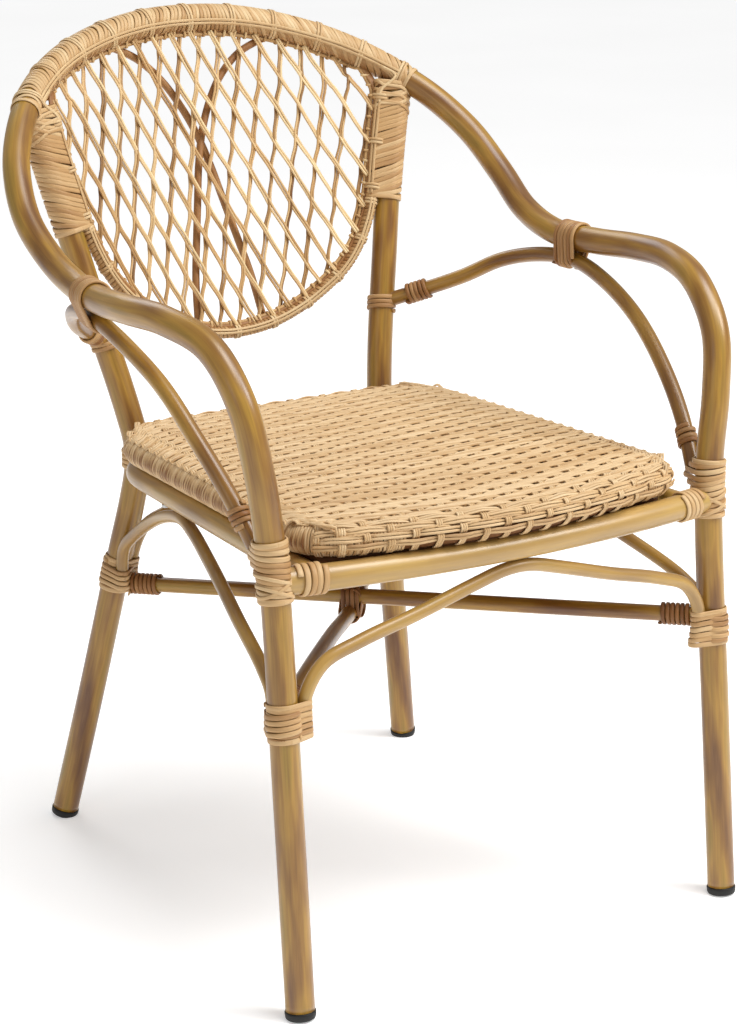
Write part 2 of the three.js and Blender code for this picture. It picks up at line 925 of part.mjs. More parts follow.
function capSolid(route) {
  const up = route.directions[0];
  const reach = 2 * capHeight;
  const fit = plugRadius * Math.cos(Math.PI / mainSides) - clearance;
  const profile = [
    new THREE.Vector2(0, -reach),
    new THREE.Vector2(capRadius - capRim, -reach),
    new THREE.Vector2(capRadius - capRim, -capHeight),
    new THREE.Vector2(capRadius, -capHeight + capRim),
    new THREE.Vector2(capRadius, -clearance),
    new THREE.Vector2(fit, -clearance),
    new THREE.Vector2(fit, plugLength - plugTaper),
    new THREE.Vector2(fit - plugTaper, plugLength),
    new THREE.Vector2(0, plugLength),
  ];
  const geometry = new THREE.LatheGeometry(profile, mainSides + 2);
  geometry.rotateX(Math.PI / 2);
  geometry.applyQuaternion(new THREE.Quaternion().setFromUnitVectors(point(0, 0, 1), up));
  geometry.translate(...route.stations[0].toArray());
  const below = new THREE.BoxGeometry(4 * reach, 4 * reach, 2 * reach);
  below.translate(route.stations[0].x, route.stations[0].y, -reach);
  return cutSolids(toSolid(geometry), [toSolid(below)]);
}

function socketRoom(route) {
  const up = route.directions[0];
  const start = route.stations[0].clone().addScaledVector(up, -capHeight);
  const end = route.stations[0].clone().addScaledVector(up, plugLength + clearance);
  return tubeSolid(new Route([start, end]), plugRadius, mainSides);
}

// Seat screws: up through a side rail into the seat panel

function screwParts(depth) {
  const axis = sideRail.route.pointWhere('y', depth);
  const headTop = seatRailHeight - railRadius - clearance;
  const tip = seatRailHeight + railRadius + screwGrip;
  const shank = new Route([point(axis.x, axis.y, headTop - screwHeadHeight / 2),
    point(axis.x, axis.y, tip)]);
  const head = new Route([point(axis.x, axis.y, headTop - screwHeadHeight),
    point(axis.x, axis.y, headTop)]);
  const hole = new Route([point(axis.x, axis.y, headTop - screwHeadHeight),
    point(axis.x, axis.y, tip + clearance)]);
  return {
    screw: tubeSolid(head, screwHeadRadius, braceSides)
      .add(tubeSolid(shank, screwRadius, braceSides)),
    hole: tubeSolid(hole, screwRadius + clearance, braceSides),
  };
}

const screws = screwDepths.map(screwParts);
const screwHoles = screws.flatMap(({ hole }) => bothSides(hole));

// Frame pieces

const rightArmBrace = armBrace.mirror();
const rightSideArch = sideArch.mirror();
const rearRooms = [rearLeg.room, rightRearLeg.room];
const archRooms = [frontArch.room, rearArch.room, sideArch.room, rightSideArch.room];
const stretcherRooms = [upperStretcher.room, lowerStretcher.room];

addPiece('arm_and_hoop_tube', toGeometry(
  cutSolids(mainTube.solid(), bothSides(socketRoom(mainTube.route))),
), paint);
addPair('rear_leg', toGeometry(cutSolids(rearLeg.solid(), [
  mainTube.room, socketRoom(rearLeg.route),
])), paint);
addPiece('front_seat_rail', toGeometry(cutSolids(frontRail.solid(), [mainTube.room])), paint);
addPiece('side_and_rear_seat_rail', toGeometry(cutSolids(sideRail.solid(), [
  frontRail.room, mainTube.room, ...rearRooms, ...screwHoles,
])), paint);
addPair('arm_brace', toGeometry(cutSolids(armBrace.solid(), [
  rearLeg.room, mainTube.room,
])), paint);
addPiece('front_arch_brace', toGeometry(cutSolids(frontArch.solid(), [
  mainTube.room, frontRail.room,
])), paint);
addPiece('rear_arch_brace', toGeometry(cutSolids(rearArch.solid(), [
  ...rearRooms, sideRail.room,
])), paint);
addPair('side_arch_brace', toGeometry(cutSolids(sideArch.solid(), [
  mainTube.room, rearLeg.room, sideRail.room, frontArch.room, rearArch.room,
])), paint);
addPiece('upper_stretcher', toGeometry(cutSolids(upperStretcher.solid(), [
  mainTube.room, rightRearLeg.room, ...archRooms,
])), paint);
addPiece('lower_stretcher', toGeometry(cutSolids(lowerStretcher.solid(), [
  mainTube.room, rearLeg.room, upperStretcher.room, ...archRooms,
])), paint);
addPiece('back_ring', toGeometry(cutSolids(backRing.solid(), [
  mainTube.room, ...rearRooms,
])), cane);

// Lashings of the back

const hoopFrom = mainTube.route.lengthWhere('z', hoopLashHeight);
const hoopLash = new Lashing([{
  member: mainTube,
  from: hoopFrom,
  to: mainTube.route.total - hoopFrom,
}], [...rearRooms, backRing.room]);
const postFrom = rearLeg.route.lengthWhere('z', postLashHeight);
const ringLeaveLength = backRing.route.lengthWhere('z', postLashHeight);
const postLash = new Lashing([
  { member: rearLeg, from: postFrom, to: rearLeg.route.total },
  { member: backRing, from: 0, to: ringLeaveLength, thickness: ringLashThickness },
], [hoopLash.room, mainTube.room]);
const ringLash = new Lashing([{
  member: backRing,
  from: ringLeaveLength + clearance,
  to: backRing.route.total - ringLeaveLength - clearance,
  thickness: ringLashThickness,
}], [...rearRooms, ...bothSides(postLash.room)]);
addPiece('hoop_lashing', toGeometry(hoopLash.solid), cane);
addPair('post_lashing', toGeometry(postLash.solid), cane);
addPiece('ring_lashing', toGeometry(ringLash.solid), cane);

// Lattice and canes of the back

addPiece('back_lattice', toGeometry(cutSolids(toSolid(latticeGeometry()), [
  hoopLash.room, ringLash.room, ...bothSides(postLash.room), mainTube.room,
])), weave);
const leftCane = new Member(caneRoute(caneSetback), caneRadius, ringSides);
const rightCane = leftCane.mirror();
const caneRooms = [hoopLash.room, ringLash.room, mainTube.room];
addPiece('back_cane_left', toGeometry(cutSolids(leftCane.solid(), caneRooms)), darkCane);
addPiece('back_cane_right', toGeometry(cutSolids(rightCane.solid(), [
  leftCane.room, ...caneRooms,
])), darkCane);

// Lashings of the arms: windings round the arm and brace, and round the brace by the post

const armLashMiddle = mainTube.route.lengthWhere(
  'y', braceCrestDepth + armLashSetback,
);
addPair('arm_lashing', winding(
  'arm_lashing', mainTube.route, armLashMiddle - armLashTurns * strandPitch / 2,
  armLashTurns, [mainTube, armBrace],
), cane);
addPair('brace_lashing', winding(
  'brace_lashing', armBrace.route, braceLashStart, braceLashTurns, [armBrace],
), cane);
const postBandMiddle = rearLeg.route.lengthWhere('z', postBandHeight);
const postBand = new Lashing([{
  member: rearLeg,
  from: postBandMiddle - postBandLength / 2,
  to: postBandMiddle + postBandLength / 2,
}], [armBrace.room]);
addPair('post_brace_lashing', toGeometry(postBand.solid), cane);

// Lashings of the front joints, where leg, rail and brace meet

const jointLash = new Lashing([{
  member: mainTube,
  from: mainTube.route.lengthWhere('z', jointLashBottom),
  to: mainTube.route.lengthWhere('z', jointLashTop),
}], [frontRail.room, armBrace.room]);
addPair('front_joint_lashing', toGeometry(jointLash.solid), cane);
const braceBandEnd = armBrace.route.total - armBrace.route.reversed().lengthWhere(
  'z', jointLashTop + clearance + strandGap,
);
const braceBand = new Lashing([{
  member: armBrace,
  from: braceBandEnd - braceBandLength,
  to: braceBandEnd,
}], [mainTube.room, jointLash.room]);
addPair('brace_end_lashing', toGeometry(braceBand.solid), cane);
const railLash = new Lashing([{
  member: frontRail,
  from: railLashStart,
  to: railLashStart + railLashLength,
}], [mainTube.room, sideRail.room, jointLash.room]);
addPair('rail_lashing', toGeometry(railLash.solid), cane);

// Lashings of the legs below the seat

// The band on the leg and its arms round the two arch ends beside it, in one piece
function legLashing(name, leg, archRoutes) {
  const whole = joinSolids([
    leg.band(
      leg.route.lengthWhere('z', legLashBottom),
      leg.route.lengthWhere('z', legLashTop),
    ),
    ...archRoutes.map((route) => new Member(route, archRadius, archSides).band(
      sideGap, legLashTop - archEndHeight, ringLashThickness,
    )),
  ]);
  const rooms = [...archRooms, ...stretcherRooms, mainTube.room, ...rearRooms];
  addPiece(name + '_left', toGeometry(cutSolids(whole, rooms)), cane);
  addPiece(name + '_right', toGeometry(cutSolids(mirrorSolid(whole), rooms)), cane);
}

legLashing('front_leg_lashing', mainTube, [frontArch.route, sideArch.route]);
legLashing('rear_leg_lashing', rearLeg, [rearArch.route, sideArch.route.reversed()]);

// Windings at the stretcher ends, and a lashing where the stretchers cross

for (const [name, member] of [['upper', upperStretcher], ['lower', lowerStretcher]]) {
  const ends = [['front', member.route], ['rear', member.route.reversed()]];
  for (const [end, route] of ends) {
    const title = name + '_stretcher_' + end + '_lashing';
    addPiece(title, winding(
      title, route, stretcherLashStart, stretcherLashTurns, [member],
    ), darkCane);
  }
}
const crossLash = new Lashing([upperStretcher, lowerStretcher].map((member) => {
  const middle = member.route.lengthWhere('x', 0);
  return {
    member,
    from: middle - crossingLashLength / 2,
    to: middle + crossingLashLength / 2,
  };
}));
addPiece('stretcher_crossing_lashing', toGeometry(crossLash.solid), darkCane);

// Lashings that tie the rear of the seat rail to the posts

const kneeMiddle = rearLeg.route.lengthWhere('z', seatRailHeight);
const kneeLash = new Lashing([{
  member: rearLeg,
  from: kneeMiddle - kneeLashLength / 2,
  to: kneeMiddle + kneeLashLength / 2,
}], [sideRail.room]);
addPair('rear_joint_lashing', toGeometry(kneeLash.solid), cane);

// Seat panel, screws and foot caps

addPiece('seat_panel', toGeometry(cutSolids(toSolid(seatGeometry()), screwHoles)), weave);
addPair('seat_screw_front', toGeometry(screws[0].screw), steel);
addPair('seat_screw_rear', toGeometry(screws[1].screw), steel);
addPair('front_foot_cap', toGeometry(capSolid(mainTube.route)), rubber);
addPair('rear_foot_cap', toGeometry(capSolid(rearLeg.route)), rubber);

// Centre the chair over the floor point under the middle of its box
const box = new THREE.Box3().setFromObject(chair);
chair.position.y = -(box.min.y + box.max.y) / 2;

export default chair;
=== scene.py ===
import math

import bpy
import numpy as np
from mathutils import Matrix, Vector
from numpy.random import default_rng


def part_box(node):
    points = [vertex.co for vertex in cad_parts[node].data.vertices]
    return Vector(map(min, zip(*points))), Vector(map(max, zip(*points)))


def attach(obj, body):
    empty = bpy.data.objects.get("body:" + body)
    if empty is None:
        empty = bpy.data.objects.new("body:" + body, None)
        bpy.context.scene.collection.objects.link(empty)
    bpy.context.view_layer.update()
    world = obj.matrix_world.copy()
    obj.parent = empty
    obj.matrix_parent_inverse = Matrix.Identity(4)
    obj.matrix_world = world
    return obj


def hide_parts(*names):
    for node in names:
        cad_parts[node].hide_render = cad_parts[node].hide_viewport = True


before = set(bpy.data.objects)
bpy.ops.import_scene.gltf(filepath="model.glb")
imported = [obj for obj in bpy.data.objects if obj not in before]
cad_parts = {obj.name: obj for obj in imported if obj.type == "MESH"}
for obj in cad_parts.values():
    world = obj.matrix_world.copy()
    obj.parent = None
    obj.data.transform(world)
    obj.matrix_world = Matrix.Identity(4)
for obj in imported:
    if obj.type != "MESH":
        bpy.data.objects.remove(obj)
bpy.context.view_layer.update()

# Everything below is in millimetres until a mesh is made. X points to the chair's left, Y to its
# rear and Z up. The chair's own frame has its seat's front at SEAT_FRONT_DEPTH, and is moved
# along Y by SHIFT to where the solids are.

METRES = 0.001
SEAT_FRONT_DEPTH = 1.0
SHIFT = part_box("seat_panel")[0][1] / METRES - SEAT_FRONT_DEPTH


# Sizes, as in the solids

ARM_HALF_WIDTH = 289.0
FRAME_DEPTH = 635.0
ARM_HEIGHT = 620.0
HOOP_HEIGHT = 830.0
SEAT_RAIL_HEIGHT = 403.0
STRETCHER_FRONT_HEIGHT = 286.0
STRETCHER_REAR_HEIGHT = 266.0
STRETCHER_DIP = 16.4
KNEE_HALF_WIDTH = 150.0
KNEE_DEPTH = 483.0
POST_TOP_HEIGHT = 764.9
REAR_FOOT_HALF_WIDTH = 220.0
REAR_FOOT_DEPTH = 539.0
CAP_LIFT = 8.3
FRONT_RAIL_BOW = 25.0
REAR_RAIL_DEPTH = KNEE_DEPTH - 22.0
REAR_RAIL_BEND = 60.0
SIDE_RAIL_HALF_WIDTH = 183.0
SIDE_RAIL_INSET = 36.0
BRACE_REAR_HEIGHT = 525.0
BRACE_FRONT_HEIGHT = 424.0
BRACE_CREST_DEPTH = 308.0
BRACE_BESIDE = 22.4
ARCH_APEX_HEIGHT = 383.6
ARCH_END_HEIGHT = 264.0
ARCH_BESIDE = 20.9
RING_BOTTOM_DEPTH = 534.0
RING_BOTTOM_HEIGHT = 508.0
RING_LEAVE_HEIGHT = 643.9
RING_BESIDE = 19.9

MAIN_RADIUS = 13.65
RAIL_RADIUS = 12.4
BRACE_RADIUS = 7.9
ARCH_RADIUS = 6.4
RING_RADIUS = 5.4
CANE_RADIUS = 4.1
TUBE_SIDES = {MAIN_RADIUS: 32, RAIL_RADIUS: 28, BRACE_RADIUS: 24, ARCH_RADIUS: 20, RING_RADIUS: 16,
              CANE_RADIUS: 14}

# The two hands of what the chair has twice, and whether each is mirrored
HANDS = (("left", False), ("right", True))


# Vectors

def vec(*values):
    return np.array(values, float)


FRONT = vec(0.0, -1.0, 0.0)
UP = vec(0.0, 0.0, 1.0)


def unit(v):
    return v / np.maximum(np.linalg.norm(v, axis=-1, keepdims=True), 1e-9)


def square(v, t):
    """The unit vector nearest to v that is square to t."""
    return unit(v - t * np.sum(v * t, axis=-1, keepdims=True))


def mirror(p):
    return np.asarray(p, float) * vec(-1.0, 1.0, 1.0)


def both_halves(points):
    """A line across the chair, from its left half and the mirror of it."""
    return points + [mirror(p) for p in points[-2::-1]]


def between(a, b, shares):
    return [a + (b - a) * vec(*s) for s in shares]


def eased(x):
    return x * x * (3 - 2 * x)


def circle(sides, start=0.0):
    """Even angles round a full turn."""
    return (np.arange(sides) + start) * 2 * math.pi / sides


def read_off(at, keys, table):
    """Each column of a table, read off between its rows."""
    return np.stack([np.interp(at, keys, column) for column in table.T], axis=-1)


# Paths

def lengths(p):
    """The length along a path at each of its points."""
    return np.concatenate([[0.0], np.cumsum(np.linalg.norm(np.diff(p, axis=0), axis=1))])


def heading(p, closed=False):
    """The direction of a path at each of its points."""
    if closed:
        return unit(np.roll(p, -1, axis=0) - np.roll(p, 1, axis=0))
    return unit(np.gradient(p, axis=0))


def outward_of(p, closed=False):
    """The direction out of a plan outline at each of its points."""
    t = heading(p, closed)
    return np.stack([t[:, 1], -t[:, 0]], axis=1)


def resampled(p, step, plane=None):
    """Points at even steps round a closed line, measured in its first columns where plane says so."""
    closed = np.concatenate([p, p[:1]])
    s = lengths(closed[:, :plane])
    return read_off(np.arange(0.0, s[-1], step), s, closed)


def smoothed(p, times):
    for _ in range(times):
        p = (np.roll(p, 1, axis=0) + 2 * p + np.roll(p, -1, axis=0)) / 4
    return p


def smooth_curve(points, per_span=14):
    """The centripetal spline through the points, as closely spaced points."""
    p = [np.asarray(q, float) for q in points]
    p = [2 * p[0] - p[1]] + p + [2 * p[-1] - p[-2]]
    t = np.linspace(0, 1, per_span, endpoint=False)[:, None]
    out = []
    for i in range(1, len(p) - 2):
        a, b, c, d = p[i - 1:i + 3]
        t0, t1, t2 = (np.linalg.norm(y - x) ** 0.5 for x, y in ((a, b), (b, c), (c, d)))
        m1 = ((b - a) / t0 - (c - a) / (t0 + t1) + (c - b) / t1) * t1
        m2 = ((c - b) / t1 - (d - b) / (t1 + t2) + (d - c) / t2) * t1
        out.append(b + m1 * t + (-3 * b + 3 * c - 2 * m1 - m2) * t ** 2
                   + (2 * b - 2 * c + m1 + m2) * t ** 3)
    out.append(p[-2][None])
    return np.concatenate(out)


class Route:
    """A path of close points, with a frame that turns smoothly along it."""

    def __init__(self, stations):
        self.p = np.asarray(stations, float)
        self.s = lengths(self.p)
        self.total = self.s[-1]
        self.t = heading(self.p)
        normals = [UP if abs(self.t[0][2]) < 0.9 else -FRONT]
        for t in self.t:
            n = normals[-1] - t * (normals[-1] @ t)
            normals.append(n / np.linalg.norm(n))
        self.n = np.array(normals[1:])

    @classmethod
    def through(cls, points):
        return cls(smooth_curve(points))

    def at(self, s):
        return read_off(s, self.s, self.p)

    def frame(self, s):
        """The point, the direction and two sideways directions at a length."""
        t = unit(read_off(s, self.s, self.t))
        n = square(read_off(s, self.s, self.n), t)
        return self.at(s), t, n, np.cross(t, n)

    def where(self, axis, value, last=False):
        """The length at which the route passes a coordinate."""
        v = self.p[:, axis] - value
        k = np.nonzero(v[:-1] * v[1:] <= 0)[0][-1 if last else 0]
        return self.s[k] + v[k] / (v[k] - v[k + 1]) * (self.s[k + 1] - self.s[k])

    def passing(self, axis, value, last=False):
        return self.at(self.where(axis, value, last))

    def nearest(self, point):
        return self.s[np.argmin(np.linalg.norm(self.p - point, axis=1))]

    def handed(self, right):
        return Route(mirror(self.p)) if right else self


# Surfaces

def srgb(*rgb):
    return (*[((v / 255.0 + 0.055) / 1.055) ** 2.4 for v in rgb], 1.0)


def grey(value):
    return (value, value, value, 1.0)


class Nodes:
    """A short way to write a node material; a value can be a number, a colour or a socket."""

    SOCKETS = {"color": "Base Color", "roughness": "Roughness", "metallic": "Metallic",
               "coat": "Coat Weight", "coat_roughness": "Coat Roughness", "normal": "Normal",
               "specular": "Specular IOR Level", "glow": "Emission Color",
               "glow_strength": "Emission Strength"}

    def __init__(self, name):
        self.material = bpy.data.materials.new(name)
        self.material.use_nodes = True
        self.tree = self.material.node_tree

    def feed(self, socket, value):
        if isinstance(value, bpy.types.NodeSocket):
            self.tree.links.new(value, socket)
        else:
            socket.default_value = value

    def node(self, kind, output, inputs=(), **settings):
        """Adds a node with its settings and inputs, and gives one of its outputs."""
        made = self.tree.nodes.new(kind)
        for key, value in settings.items():
            setattr(made, key, value)
        for key, value in inputs:
            self.feed(made.inputs[key], value)
        return made.outputs[output]

    def attribute(self, name, output):
        return self.node("ShaderNodeAttribute", output, attribute_name=name,
                         attribute_type="GEOMETRY")

    def place(self):
        return self.node("ShaderNodeTexCoord", "Object")

    def noise(self, vector, scale, detail=2.0, roughness=0.5):
        return self.node("ShaderNodeTexNoise", "Fac", (
            ("Scale", scale), ("Detail", detail), ("Roughness", roughness), ("Vector", vector)))

    def lengthwise(self, vector, across, along, detail=2.0, roughness=0.5):
        """Noise stretched along the grain, by its scale per metre across and along."""
        return self.noise(self.node("ShaderNodeMapping", "Vector", (
            ("Scale", (across, across, along)), ("Vector", vector))), 1.0, detail, roughness)

    def ramp(self, source, *stops):
        made = self.tree.nodes.new("ShaderNodeValToRGB")
        self.feed(made.inputs["Fac"], source)
        elements = made.color_ramp.elements
        while len(elements) < len(stops):
            elements.new(0.5)
        for element, stop in zip(elements, stops):
            element.position, element.color = stop
        return made.outputs["Color"]

    def fit(self, source, *limits):
        """The source, taken from one low and high limit to another."""
        names = ("From Min", "From Max", "To Min", "To Max")
        return self.node("ShaderNodeMapRange", "Result", [("Value", source), *zip(names, limits)])

    def math(self, operation, a, b):
        return self.node("ShaderNodeMath", "Value", ((0, a), (1, b)), operation=operation)

    def mix(self, share, a, b):
        return self.node("ShaderNodeMix", 2, ((0, share), (6, a), (7, b)), data_type="RGBA")

    def bump(self, height, strength, distance):
        return self.node("ShaderNodeBump", "Normal", (
            ("Strength", strength), ("Distance", distance), ("Height", height)))

    def shade(self, **values):
        for name, value in values.items():
            self.feed(self.tree.nodes["Principled BSDF"].inputs[self.SOCKETS[name]], value)
        return self.material


def frame_paint():
    """Satin bamboo-look paint with streaks and patches; a piece's tone says how pale it is, and on the
    front rail that paleness is painted light.
    """
    m = Nodes("frame_paint")
    grain = m.attribute("grain", "Vector")
    pale = m.math("MULTIPLY", m.attribute("tone", "Fac"), 0.5)
    patches = m.lengthwise(grain, 62.0, 9.0)
    streaks = m.lengthwise(grain, 320.0, 9.0, 3.0, 0.6)
    fine = m.lengthwise(grain, 1400.0, 30.0, 2.0, 0.6)
    base = m.ramp(patches, (0.32, srgb(104, 60, 14)), (0.44, srgb(138, 94, 26)),
                  (0.56, srgb(172, 129, 44)), (0.68, srgb(152, 119, 34)))
    veined = m.mix(m.fit(streaks, 0.35, 0.7, 0.0, 0.45), base, srgb(98, 60, 14))
    speckled = m.mix(m.fit(fine, 0.5, 0.8, 0.0, 0.22), veined, srgb(190, 149, 74))
    return m.shade(color=m.mix(pale, speckled, srgb(206, 173, 108)), specular=0.5,
                   roughness=m.fit(streaks, 0.2, 0.8, 0.3, 0.42), coat=0.4, coat_roughness=0.28,
                   normal=m.bump(m.lengthwise(grain, 500.0, 12.0), 0.12, 0.0004))


def strand(name, light, middle, dark, roughness=0.5):
    """Flat plastic strand with fine lengthwise fibres; each strand has its own tone."""
    m = Nodes(name)
    grain = m.attribute("grain", "Vector")
    fibres = m.lengthwise(grain, 2200.0, 40.0, 2.0, 0.6)
    shade = m.math("ADD", m.math("MULTIPLY", m.attribute("tone", "Fac"), 0.55),
                   m.math("MULTIPLY", m.lengthwise(grain, 60.0, 14.0), 0.5))
    base = m.ramp(shade, (0.08, srgb(*dark)), (0.42, srgb(*middle)), (0.85, srgb(*light)))
    return m.shade(color=m.mix(m.fit(fibres, 0.42, 0.72, 0.0, 0.4), base, srgb(*dark)),
                   roughness=roughness, specular=0.35, coat=0.05, coat_roughness=0.3,
                   normal=m.bump(fibres, 0.25, 0.0002))


def rubber():
    m = Nodes("rubber")
    mottled = m.noise(m.place(), 900.0, 3.0)
    return m.shade(color=m.ramp(mottled, (0.3, grey(0.006)), (0.7, (0.014, 0.013, 0.012, 1.0))),
                   roughness=m.fit(mottled, 0.3, 0.7, 0.5, 0.65), specular=0.4,
                   normal=m.bump(mottled, 0.1, 0.0002))


def steel():
    m = Nodes("steel")
    lines = m.lengthwise(m.place(), 900.0, 60.0)
    return m.shade(color=m.ramp(lines, (0.3, (0.42, 0.41, 0.4, 1.0)), (0.7, (0.6, 0.59, 0.57, 1.0))),
                   roughness=m.fit(lines, 0.3, 0.7, 0.28, 0.42), metallic=1.0)


SURFACES = {
    "frame_paint": frame_paint(),
    "strand_light": strand("strand_light", (227, 202, 158), (198, 160, 110), (142, 96, 52)),
    "strand_dark": strand("strand_dark", (196, 152, 98), (152, 104, 58), (96, 58, 28)),
    "lattice_strand": strand("lattice_strand", (242, 217, 168), (202, 162, 108), (116, 78, 42)),
    "seat_weave": strand("seat_weave", (230, 203, 161), (205, 170, 122), (140, 97, 56)),
    "seat_pad": strand("seat_pad", (170, 120, 66), (120, 76, 36), (74, 42, 18), 0.7),
    "rubber": rubber(),
    "steel": steel(),
}


# Meshes

def add_object(name, data):
    made = bpy.data.objects.new(name, data)
    bpy.context.scene.collection.objects.link(made)
    return made


class Builder:
    """Gathers swept sections into one mesh, with a grain vector and a tone at each point."""

    def __init__(self):
        self.points, self.faces, self.grain, self.tone = [], [], [], []
        self.count = 0

    def sweep(self, rings, along, across, tone=0.0, closed=False):
        """rings is (stations, sides, 3); the ends of an open sweep are closed with one face each."""
        m, n = rings.shape[:2]
        i = np.arange(m if closed else m - 1)[:, None]
        j = np.arange(n)[None, :]
        ahead, beside = (i + 1) % m * n, (j + 1) % n
        quads = np.stack([i * n + j, i * n + beside, ahead + beside, ahead + j], axis=-1)
        faces = quads.reshape(-1, 4).tolist()
        if not closed:
            faces += [list(range(n))[::-1], list(range((m - 1) * n, m * n))]
        grain = np.empty((m, n, 3))
        grain[..., :2] = across
        grain[..., 2] = np.asarray(along)[:, None]
        self.points.append(rings.reshape(-1, 3))
        self.faces += [[k + self.count for k in face] for face in faces]
        self.grain.append(grain.reshape(-1, 3))
        self.tone.append(np.broadcast_to(tone, (m * n,)))
        self.count += m * n

    def piece(self, name, *nodes, surface="strand_light"):
        """Makes the piece, which stands for the nodes named."""
        mesh = bpy.data.meshes.new(name)
        points = np.concatenate(self.points) + vec(0.0, SHIFT, 0.0)
        mesh.from_pydata((points * METRES).tolist(), [], self.faces)
        mesh.update()
        grain = mesh.attributes.new("grain", "FLOAT_VECTOR", "POINT")
        grain.data.foreach_set("vector", (np.concatenate(self.grain) * METRES).ravel())
        tone = mesh.attributes.new("tone", "FLOAT", "POINT")
        tone.data.foreach_set("value", np.concatenate(self.tone).astype(np.float32))
        mesh.shade_smooth()
        mesh.materials.append(SURFACES[surface])
        piece = add_object(name, mesh)
        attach(piece, "root")
        if nodes:
            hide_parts(*nodes)
        return piece


def tube_rings(route, radius, sides, step=6.0, rounded=(0.0, 0.0)):
    """Rings of a round tube along a route; its start and its end can be rounded over."""
    s = np.linspace(0.0, route.total, max(3, int(route.total / step) + 1))
    scale = np.ones(len(s))
    for at_end, size in enumerate(rounded):
        if size > 0:
            turn = np.linspace(0.08, 1.0, 7) * math.pi / 2
            inset = size * (1 - np.sin(turn))
            keep = s < route.total - size if at_end else s > size
            s = np.concatenate([s[keep], route.total - inset if at_end else inset])
            scale = np.concatenate([scale[keep], 1 - (size / radius) * (1 - np.cos(turn))])
            order = np.argsort(s)
            s, scale = s[order], scale[order]
    c, _, n, b = route.frame(s)
    turned = np.stack([np.cos(circle(sides)), np.sin(circle(sides))], axis=1)
    sideways = n[:, None] * turned[:, :1] + b[:, None] * turned[:, 1:]
    rings = c[:, None] + (radius * scale)[:, None, None] * sideways
    return rings, s, turned * radius


def tube_piece(name, node, route, radius, tone, surface="frame_paint", **options):
    make = Builder()
    make.sweep(*tube_rings(route, radius, TUBE_SIDES[radius], **options), tone)
    make.piece(name, node, surface=surface)


# Routes of the tubes

def cut_above_cap(points):
    """A leg's points, with the lowest moved up along the leg to where the foot cap begins."""
    rise = points[1] - points[0]
    return [points[0] + rise * (CAP_LIFT / rise[2])] + points[1:]


leg_and_arm = [vec(x * ARM_HALF_WIDTH, y * FRAME_DEPTH, z * ARM_HEIGHT) for x, y, z in (
    (0.858, 0, 0), (0.854, 0.032, 0.32), (0.851, 0.063, 0.623), (0.862, 0.071, 0.719),
    (0.888, 0.077, 0.815), (0.917, 0.099, 0.908), (0.943, 0.162, 0.976), (0.983, 0.252, 1),
    (1, 0.345, 1), (0.986, 0.439, 0.995), (0.964, 0.534, 0.997))]
hoop_half = [vec(x * ARM_HALF_WIDTH, y * FRAME_DEPTH, ARM_HEIGHT + z * (HOOP_HEIGHT - ARM_HEIGHT))
             for x, y, z in (
    (0.965, 0.624, 0.071), (0.972, 0.702, 0.229), (0.934, 0.77, 0.419), (0.848, 0.835, 0.59),
    (0.727, 0.896, 0.729), (0.571, 0.945, 0.848), (0.388, 0.978, 0.933), (0.19, 0.995, 0.986),
    (0, 1, 1))]
main_line = Route.through(both_halves(cut_above_cap(leg_and_arm + hoop_half)))
half_line = Route(main_line.p[:len(main_line.p) // 2 + 1])

knee = vec(KNEE_HALF_WIDTH, KNEE_DEPTH, SEAT_RAIL_HEIGHT)
rear_foot = vec(REAR_FOOT_HALF_WIDTH, REAR_FOOT_DEPTH, 0.0)
lower = between(knee, rear_foot, [(1, 1, 1), (0.6, 0.57, 0.62), (0.221, 0.195, 0.256),
                                  (0.071, 0.035, 0.114), (0, -0.027, 0.027)])
upper = between(knee, half_line.passing(2, POST_TOP_HEIGHT), [
    (0, 0, 0.047), (0.049, 0.08, 0.116), (0.14, 0.2, 0.213), (0.254, 0.33, 0.318),
    (0.423, 0.5, 0.475), (0.592, 0.68, 0.633), (0.775, 0.84, 0.79), (0.9, 0.93, 0.895), (1, 1, 1)])
rear_leg = Route.through(cut_above_cap(lower) + upper)

leg_at_seat = half_line.passing(2, SEAT_RAIL_HEIGHT)
front_rail = Route.through([
    vec(share * leg_at_seat[0], leg_at_seat[1] - FRONT_RAIL_BOW * (1 - share ** 2), SEAT_RAIL_HEIGHT)
    for share in (1, 0.75, 0.5, 0.25, 0, -0.25, -0.5, -0.75, -1)])

side_start = front_rail.at(front_rail.where(0, leg_at_seat[0] - SIDE_RAIL_INSET))
bend_centre = vec(SIDE_RAIL_HALF_WIDTH - REAR_RAIL_BEND, REAR_RAIL_DEPTH - REAR_RAIL_BEND,
                  SEAT_RAIL_HEIGHT)
bend_start = bend_centre + vec(REAR_RAIL_BEND, 0.0, 0.0)
side_rail = Route.through(both_halves(
    [side_start + (bend_start - side_start) * k for k in (0.0, 0.35, 0.7, 0.95)]
    + [bend_centre + REAR_RAIL_BEND * vec(math.cos(a), math.sin(a), 0.0)
       for a in np.radians((0, 22.5, 45, 67.5, 90))]
    + [vec(x, REAR_RAIL_DEPTH, SEAT_RAIL_HEIGHT) for x in (60.0, 0.0)]))

